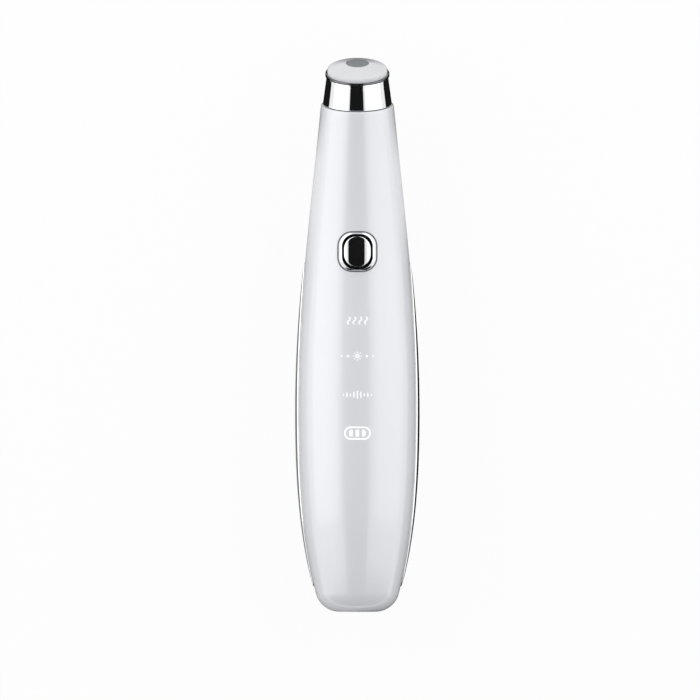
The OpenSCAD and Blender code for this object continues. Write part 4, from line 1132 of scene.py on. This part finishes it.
def button_pocket(wand, made, out, into, outer, inner, cells):
    """The skin between the grid's frame and the button's window, as straight lines in plan laid
    on the skin, then the window's wall, the seat, the cap's opening and the pad below."""
    b, h = wand.button, wand.h
    flat_out, flat_in = outer.reshape(-1, 3), inner.reshape(-1, 3)
    loop_out, loop_in = frame_loop(out, cells), frame_loop(into, cells)
    rim_out = flat_out[loop_out][:, :2] - [0, b.at]
    rim_in = flat_in[loop_in - into.min()][:, :2] - [0, b.at]
    a_out = np.arctan2(rim_out[:, 1], rim_out[:, 0])
    a_in = np.arctan2(rim_in[:, 1], rim_in[:, 0])

    def outline(angle, w, l, r):
        """Points of a rounded rectangle at angles round its middle."""
        reach = rounded_reach(angle, w, l, r)
        return np.stack([reach * np.cos(angle), reach * np.sin(angle)], -1)

    def around(angle, more):
        """The bezel's outline, larger by a margin."""
        return outline(
            angle, b.bezel_w + 2 * more, b.bezel_l + 2 * more, b.bezel_r + more)

    edge = b.window_round
    win = around(a_out, b.window_gap)
    cap = outline(
        a_out, b.open_w + b.cap_side, b.open_l + b.cap_ends, b.open_r + b.well_corner)
    pad = around(a_in, b.pad_side)
    t = np.linspace(0, 1, 9)[1:, None, None]
    lip = around(a_out, b.window_gap + edge)
    band = rim_out + (lip - rim_out) * t
    rows = [loop_out] + list(made.add(wand.over_button(band, 0.0)))
    for turn in np.linspace(0, math.pi / 2, 5)[1:]:
        plan = around(a_out, b.window_gap + edge * (1 - math.sin(turn)))
        rows.append(made.add(wand.over_button(plan, -edge * (1 - math.cos(turn)))))
    for plan, level in ((win, -b.seat), (cap, -b.seat), (cap, -b.seat - b.pad),
                        (pad, -b.seat - b.pad)):
        rows.append(made.add(wand.button_level(plan, level)))
    t = np.linspace(1, 0, 7)[:-1, None, None]
    under = rim_in + (pad - rim_in) * t
    y = under[..., 1] + b.at
    z = wand.front_z(under[..., 0], y, h.wall)
    rows += list(made.add(np.stack([under[..., 0], y, z], -1)))
    rows.append(loop_in)
    made.quads(np.array(rows), wrap=True)


class WAND_OT_front_shell(Operator):
    """Makes the front half of the moulded housing with the button's window"""

    bl_idname = "wand.front_shell"
    bl_label = "Front Shell"

    def execute(self, context):
        wand = Wand(context.scene)
        piece("front_half", half_shell(wand, 1), pearl(context.scene), "housing",
              ["front_shell"])
        return {"FINISHED"}


class WAND_OT_rear_shell(Operator):
    """Makes the rear half of the moulded housing with its resting flat"""

    bl_idname = "wand.rear_shell"
    bl_label = "Rear Shell"

    def execute(self, context):
        wand = Wand(context.scene)
        piece("rear_half", half_shell(wand, -1), pearl(context.scene), "housing",
              ["rear_shell"])
        return {"FINISHED"}


class WAND_OT_side_trims(Operator):
    """Makes the two bowed plated strips along the seam"""

    bl_idname = "wand.side_trims"
    bl_label = "Side Trims"

    def execute(self, context):
        wand = Wand(context.scene)
        finish = bright(context.scene)
        for side, name in ((1, "right"), (-1, "left")):
            piece(f"trim_{name}", self.strip(wand, side), finish, "housing",
                  [f"side_trim_{name}"], crease=50)
        return {"FINISHED"}

    def strip(self, wand, side):
        """A strip between the shells: in each section its outside stands out of the housing's
        ellipse by a half wave of its crown, and its inside follows the shells' wall."""
        thinnest = 0.00002
        s = wand.trim_stations()[2:-2, None]
        h = np.maximum(wand.trim_half(s) - wand.trim.gap, thinnest)
        w, d = wand.half_w(s), wand.half_d(s)
        a = np.linspace(0, math.pi, 25)[None]
        z = h * np.cos(a)
        x = w * np.sqrt(1 - (z / d) ** 2) + wand.trim_crown(s) * np.sin(a)
        back = w - wand.h.wall + 0 * h
        x = np.concatenate([x, back, back], 1)
        z = np.concatenate([z, -h, h], 1)
        made = Surface()
        made.tube(wand.place(wand.on_section(s, side * x, z)))
        return made


class WAND_OT_collar(Operator):
    """Makes the plated conical collar"""

    bl_idname = "wand.collar"
    bl_label = "Collar"

    def execute(self, context):
        wand = Wand(context.scene)
        g = wand.head
        finish = bright(context.scene)
        soft = g.collar_round
        first, last = g.shadow_gap, g.collar_len - g.shadow_gap

        def side_r(u):
            """The cone's radius at a distance u along the collar."""
            return g.collar_d / 2 + (g.collar_top_d - g.collar_d) / 2 * u / g.collar_len

        def edge(end, way):
            """A quarter circle from the collar's side round to one of its ends."""
            turn = np.linspace(0, math.pi / 2, 9)
            along = end + way * soft * (1 - np.sin(turn))
            return np.stack([along, side_r(end) - soft * (1 - np.cos(turn))], -1)

        lower, upper = edge(first, 1), edge(last, -1)
        u = np.linspace(first + soft, last - soft, 26)[1:-1]
        inside = [[last, g.collar_top_d / 2 - g.collar_wall],
                  [first, g.collar_d / 2 - g.collar_wall]]
        profile = np.vstack([lower[::-1], np.stack([u, side_r(u)], -1), upper, inside])
        a = np.arange(ROUND) / ROUND * 2 * math.pi
        along, r = profile[:, :1], profile[:, 1:]
        near_mouth = np.clip(1 - 2 * along / g.collar_len, 0, 1)
        back = wand.h.mouth_drop * np.maximum(np.sin(a), 0) * near_mouth
        along, r = along - back, r + (g.collar_d - g.collar_top_d) / 2 * back / g.collar_len
        lean = wand.head_lean(along)
        ring = np.stack([
            r * np.cos(a), -r * np.sin(a) * np.sin(lean), r * np.sin(a) * np.cos(lean)], -1)
        points = wand.place(wand.head_spine(along) + ring)
        made = Surface()
        rings = np.concatenate([points, points[:1]])
        # Painted shade: the collar's end faces and its inside, seen in the shadow gaps, get the
        # near-black finish
        made.grid(rings, wrap=True, bare=range(len(rings) - 4, len(rings) - 1))
        piece("collar", made, finish, "housing", ["head_collar"], crease=50)
        return {"FINISHED"}


class WAND_OT_rim(Operator):
    """Makes the thin plated rim, a wedge between the collar and the head's face"""

    bl_idname = "wand.rim"
    bl_label = "Rim"

    def execute(self, context):
        wand = Wand(context.scene)
        g = wand.head
        # Painted shade: the rim is plated in that deep grey, which draws the dark line round the
        # light ring
        finish = once("dark_plating", plated_material, context.scene.wand_finish.dark_plating)
        turn = np.linspace(0, math.pi / 2, 9)
        r = g.rim_d / 2
        edge = np.stack([
            r - g.rim_round * (1 - np.cos(turn)), g.rim_round * (np.sin(turn) - 1)], -1)
        top = np.array([[r - g.rim_w, 0.0]])
        upper = wand.turned(np.vstack([edge, top]), ROUND)
        lower = self.cut(wand, np.array([r - g.rim_w, r]))
        rings = np.concatenate([upper, lower, upper[:1]])
        made = Surface()
        # Painted shade: the rim's inner wall and underside get the near-black finish
        made.grid(wand.place(rings), wrap=True, bare=range(len(upper) - 1, len(rings) - 2))
        piece("rim", made, finish, "housing", ["head_rim"], crease=50)
        return {"FINISHED"}

    def cut(self, wand, radii):
        """Rings on the collar's top plane: along the face's axis from each point of the face,
        as far as the plane allows."""
        g = wand.head
        flat = wand.turned(np.stack([radii, 0 * radii], -1), ROUND)
        up = np.array([0, math.cos(g.collar_lean), math.sin(g.collar_lean)])
        axis = np.array([0, math.cos(g.face_lean), math.sin(g.face_lean)])
        level = (flat - wand.head_spine(g.collar_len)) @ up - g.gap
        return flat - (level / (axis @ up))[..., None] * axis


class WAND_OT_light_ring(Operator):
    """Makes the milky dome that carries the light"""

    bl_idname = "wand.light_ring"
    bl_label = "Light Ring"

    def execute(self, context):
        wand = Wand(context.scene)
        g = wand.head
        finish = once("milky_plastic", milky_material, context.scene.wand_finish)
        ring = g.rim_d / 2 - g.rim_w - g.gap
        foot = np.array([[ring - g.dome_wall, -g.foot_h], [ring, -g.foot_h]])
        profile = np.vstack([
            foot, wand.dome_curve(0.0, 20), wand.dome_curve(g.dome_wall, 20)[::-1]])
        points = wand.turned(profile, ROUND)
        made = Surface()
        made.grid(wand.place(np.concatenate([points, points[:1]])), wrap=True)
        piece("light_dome", made, finish, "housing", ["light_ring"])
        return {"FINISHED"}


class WAND_OT_contact(Operator):
    """Makes the satin metal disc that warms the skin"""

    bl_idname = "wand.contact"
    bl_label = "Warm Contact"

    def execute(self, context):
        wand = Wand(context.scene)
        g = wand.head
        finish = once(
            "satin_contact", satin_metal_material, context.scene.wand_finish.contact, 0.3, 0.38)
        r, soft, pole = g.contact_d / 2, g.contact_round, 0.0001
        top = g.dome_h + g.contact_proud
        low = top - g.contact_t - g.gap
        bottom = low - g.contact_base
        side = r + g.contact_side
        turn = np.linspace(0, math.pi / 2, 7)
        bevel = np.stack([r - soft * (1 - np.cos(turn)), top - soft * (1 - np.sin(turn))], -1)
        flat = np.stack([np.linspace(r - soft, pole, 9)[1:], np.full(8, top)], -1)
        profile = np.vstack([[[pole, bottom], [side, bottom], [side, low], [r, low]], bevel, flat])
        made = Surface()
        numbers = made.grid(wand.place(wand.turned(profile, 96)), wrap=True)
        for row, height in ((0, bottom), (-1, top)):
            made.fan(numbers[row], wand.place(wand.face_point(0, 0, height)))
        piece("contact_disc", made, finish, "housing", ["heat_contact"])
        return {"FINISHED"}


class WAND_OT_bezel(Operator):
    """Makes the plated frame round the push button"""

    bl_idname = "wand.bezel"
    bl_label = "Button Bezel"

    def execute(self, context):
        wand = Wand(context.scene)
        b = wand.button
        finish = bright(context.scene)
        # Across the bezel from outside to inside, as shares of its width and of its height
        knots = [[0, 0.02], [0.04, 0.2], [0.15, 0.36], [0.35, 0.58], [0.6, 0.81], [0.8, 0.96],
                 [0.9, 1], [0.97, 0.96], [1, 0.8]]
        rows = through(knots, 36)
        share, height = np.clip(rows[:, 0], 0, 1), rows[:, 1]
        start = np.array([b.bezel_w, b.bezel_l, b.bezel_r])
        stop = np.array([b.open_w, b.open_l, b.open_r])
        loops = np.array([
            rounded_loop(OUTLINE, *(start + (stop - start) * t)) for t in share])
        crown = wand.over_button(loops, (height * b.bezel_proud)[:, None])
        foot = [wand.button_level(loops[i], -b.seat) for i in (0, -1)]
        rings = np.concatenate([foot[:1], crown, foot[1:], foot[:1]])
        made = Surface()
        # Painted shade: the walls down into the seat and the underside get the near-black finish
        made.grid(wand.place(rings), wrap=True, bare=[0, len(rings) - 3, len(rings) - 2])
        piece("bezel", made, finish, "housing", ["button_bezel"], crease=50)
        return {"FINISHED"}


class WAND_OT_cap(Operator):
    """Makes the plated, crowned push button"""

    bl_idname = "wand.cap"
    bl_label = "Push Button"

    def execute(self, context):
        wand = Wand(context.scene)
        b = wand.button
        finish = bright(context.scene)
        outline = rounded_loop(OUTLINE, b.cap_w, b.cap_l, b.cap_r)

        def crown(x, r):
            """How far a circle of radius r has dropped at a distance x from its top."""
            return r - np.sqrt(r**2 - x**2)

        def top(plan):
            """Height of the face: the crown's two arcs taken from its middle."""
            return b.cap_proud - crown(plan[..., 0], b.crown_w) - crown(plan[..., 1], b.crown_l)

        edge_share = b.cap_edge / (b.cap_w / 2)
        face = outline * np.linspace(0.03, 1 - edge_share, 26)[:, None, None]
        rings = [wand.button_level(face, top(face))]
        turn = np.linspace(0, math.pi / 2, 9)[1:, None]
        edge = outline * (1 - edge_share * (1 - np.sin(turn)))[..., None]
        drop = b.cap_edge * (1 - np.cos(turn))
        rings.append(wand.button_level(edge, top(edge) - drop))
        seat = -b.seat - b.joint_gap
        low = seat - b.cap_base
        flange = rounded_loop(
            OUTLINE, b.cap_w + b.cap_side, b.cap_l + b.cap_ends, b.cap_r + b.cap_corner)
        for plan, level in ((outline, seat), (flange, seat), (flange, low)):
            rings.append(wand.button_level(plan, level)[None])
        made = Surface()
        points = wand.place(np.concatenate(rings))
        # Painted shade: the cap's side wall, its flange and its underside get the near-black finish
        numbers = made.grid(points, wrap=True, bare=range(len(points) - 4, len(points) - 1))
        made.fan(numbers[0], wand.place(wand.button_level(np.zeros(2), b.cap_proud)))
        made.fan(numbers[-1], wand.place(wand.button_level(np.zeros(2), low)), 1)
        piece("push_button", made, finish, "button", ["button_cap"], crease=50)
        return {"FINISHED"}


class WAND_OT_marks(Operator):
    """Prints the marks for warmth, light and vibration and the charge gauge"""

    bl_idname = "wand.marks"
    bl_label = "Printed Marks"

    def execute(self, context):
        wand = Wand(context.scene)
        m = context.scene.wand_marks
        ink = once("white_print", print_material, context.scene.wand_finish)
        for name, strokes, at in (
                ("mark_warmth", self.waves(), m.heat_at), ("mark_light", self.lamp(), m.light_at),
                ("mark_vibration", self.bars(), m.pulse_at),
                ("mark_charge", self.gauge(), m.gauge_at)):
            self.print(wand, m, ink, name, [MM * path for path in strokes], at)
        return {"FINISHED"}

    # The marks are drawn in millimetres

    def waves(self):
        """Four rising waves: a sine across over one whole turn along."""
        y = np.linspace(-1.0, 1.0, 29)
        return [np.stack([0.36 * np.sin(y * math.pi) + x, y], -1)
                for x in (-2.25, -0.75, 0.75, 2.25)]

    def lamp(self):
        """A sun between two pairs of dots, the outer ones smaller."""
        dots = [self.dot(side * x, size) for x, size in ((2.45, 0.36), (4.1, 0.22))
                for side in (-1, 1)]
        return self.sun(1.1) + dots

    def bars(self):
        """Upright bars whose half heights rise and fall."""
        heights = (0.25, 0.6, 0.38, 0.85, 1.05, 0.85, 0.38, 0.6, 0.25)
        return [np.array([[x, -h], [x, 0], [x, h]])
                for x, h in zip(np.linspace(-3.6, 3.6, len(heights)), heights)]

    def gauge(self):
        """A capsule of two lines, each as far in from the other as half of their widths'
        difference, with three levels of three bars. The outermost bars are shorter."""
        lines = [self.closed(rounded_loop(72, w, w - 3.5, (w - 3.5) / 2.1)) for w in (6.6, 6.42)]
        for x in (-2.02, -1.7, -1.38, -0.32, 0.0, 0.32, 1.38, 1.7, 2.02):
            h = 0.62 if abs(x) > 2 else 0.92
            lines.append(np.array([[x, -h], [x, h]]))
        return lines

    def closed(self, loop):
        """A loop that goes on over its first two points."""
        return np.concatenate([loop, loop[:2]])

    def dot(self, x, size):
        """A small ring, which the stroke's width fills."""
        turn = np.linspace(0, 2 * math.pi, 17)[:-1]
        r = size / 2
        return self.closed(np.stack([x + r * np.cos(turn), r * np.sin(turn)], -1))

    def sun(self, size):
        """A ring and eight rays round it."""
        rays = []
        for a in np.arange(8) * math.pi / 4:
            way = np.array([math.cos(a), math.sin(a)])
            rays.append(np.outer([0.72 * size, 1.05 * size], way))
        return [self.dot(0.0, 0.7 * size)] + rays

    def print(self, wand, m, ink, name, strokes, at):
        """Strokes as thin ribbons laid on the housing: to both sides of a path by half of the
        stroke, round at the ends, and raised above the skin by the film."""
        made = Surface()
        for path in strokes:
            flat = self.ribbon(path, m.stroke)
            x, y = flat[..., 0], flat[..., 1] + at
            skin_z = wand.front_z(x, y)
            top = np.stack([x, y, skin_z + m.film], -1)
            low = np.stack([x, y, skin_z - m.film], -1)
            made.tube(wand.place(np.stack([top[0], top[1], low[1], low[0]], 1)))
        piece(name, made, ink, "housing", crease=60)

    def ribbon(self, path, width):
        """The two edges of a path of a width, with a half circle at each end."""
        path = np.asarray(path, float)
        step = np.linalg.norm(np.diff(path, axis=0), axis=1)
        walk = np.concatenate([[0], np.cumsum(step)])
        r = width / 2
        turn = r * (1 - np.cos(np.linspace(0, math.pi / 2, 6)))
        middle = np.linspace(r, walk[-1] - r, max(3, int(walk[-1] / width * 2)))
        at = np.concatenate([turn, middle[1:-1], walk[-1] - turn[::-1]])
        line = np.stack([np.interp(at, walk, path[:, 0]), np.interp(at, walk, path[:, 1])], -1)
        slope = np.gradient(line, at, axis=0)
        slope /= np.linalg.norm(slope, axis=1, keepdims=True)
        beside = np.stack([-slope[:, 1], slope[:, 0]], -1)
        near = np.minimum(np.minimum(at, walk[-1] - at), r)
        half = np.sqrt(np.maximum(r**2 - (r - near) ** 2, 1e-14))[:, None]
        return np.stack([line + beside * half, line - beside * half])


class WAND_OT_inner_parts(Operator):
    """Gives every part inside the wand its own finish"""

    bl_idname = "wand.inner_parts"
    bl_label = "Inner Parts"

    def execute(self, context):
        moulded = (
            ("moulded_carrier", (0.7, 0.71, 0.72), 0.4, 0.55, ["head_carrier"]),
            ("black_rubber", (0.03, 0.03, 0.032), 0.6, 0.75,
             ["head_seal", "battery_pad", "motor_sleeve"]),
            ("fired_ceramic", (0.74, 0.68, 0.56), 0.5, 0.65, ["heater_disc"]),
            ("black_moulding", (0.02, 0.02, 0.021), 0.4, 0.55,
             ["thermistor", "switch_body", "light_baffle", "socket_tongue"]),
            ("pale_moulding", (0.6, 0.6, 0.58), 0.4, 0.55, ["switch_plunger"]),
            ("clear_resin", (0.86, 0.8, 0.5), 0.12, 0.2, ["head_leds", "indicator_leds"]),
            ("chip_moulding", (0.025, 0.025, 0.027), 0.45, 0.6,
             ["controller_chip", "charge_chip"]),
            ("capacitor_ceramic", (0.5, 0.37, 0.24), 0.4, 0.55, ["board_capacitors"]),
            ("cell_film", (0.05, 0.2, 0.5), 0.25, 0.35, ["battery_cell"]),
            ("lead_insulation", (0.5, 0.04, 0.035), 0.35, 0.5,
             ["battery_leads", "motor_leads", "heater_leads", "led_leads"]),
        )
        steel = (
            ("turned_steel", (0.55, 0.56, 0.57), 0.2, 0.35,
             ["board_screws", "motor_shaft", "eccentric_weight"]),
            ("drawn_steel", (0.6, 0.61, 0.62), 0.22, 0.34,
             ["charging_socket", "motor_case", "battery_cap"]),
        )
        for finishes, metallic in ((moulded, 0.0), (steel, 1.0)):
            for name, colour, low, high, nodes in finishes:
                self.finish(plain_material(name, colour, low, high, metallic), nodes)
        self.finish(board_material("solder_mask"), ["head_led_board", "main_board"])
        return {"FINISHED"}

    def finish(self, material, nodes):
        """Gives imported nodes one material."""
        for name in nodes:
            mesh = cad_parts[name].data
            mesh.materials.clear()
            mesh.materials.append(material)


class WAND_PT_wand(Panel):
    """Lists the wand's sizes and colours and the steps that build it"""

    bl_idname = "WAND_PT_wand"
    bl_label = "Heated Massager Wand"
    bl_space_type = "VIEW_3D"
    bl_region_type = "UI"
    bl_category = "Wand"

    def draw(self, context):
        layout = self.layout
        layout.use_property_split = True
        for step in STEPS:
            layout.operator(step.bl_idname)
        for group, kind in GROUPS.items():
            box = layout.box()
            box.label(text=kind.__name__.replace("Wand", ""))
            for label in kind.__annotations__:
                box.prop(getattr(context.scene, group), label)


STEPS = [
    WAND_OT_studio,
    WAND_OT_front_shell,
    WAND_OT_rear_shell,
    WAND_OT_side_trims,
    WAND_OT_collar,
    WAND_OT_rim,
    WAND_OT_light_ring,
    WAND_OT_contact,
    WAND_OT_bezel,
    WAND_OT_cap,
    WAND_OT_marks,
    WAND_OT_inner_parts,
]


def register():
    for kind in [*GROUPS.values(), *STEPS, WAND_PT_wand]:
        bpy.utils.register_class(kind)
    for name, kind in GROUPS.items():
        setattr(bpy.types.Scene, name, PointerProperty(type=kind))


def unregister():
    for name in GROUPS:
        delattr(bpy.types.Scene, name)
    for kind in reversed([*GROUPS.values(), *STEPS, WAND_PT_wand]):
        bpy.utils.unregister_class(kind)


def main():
    register()
    for step in STEPS:
        group, name = step.bl_idname.split(".")
        getattr(getattr(bpy.ops, group), name)()


if __name__ == "__main__":
    main()
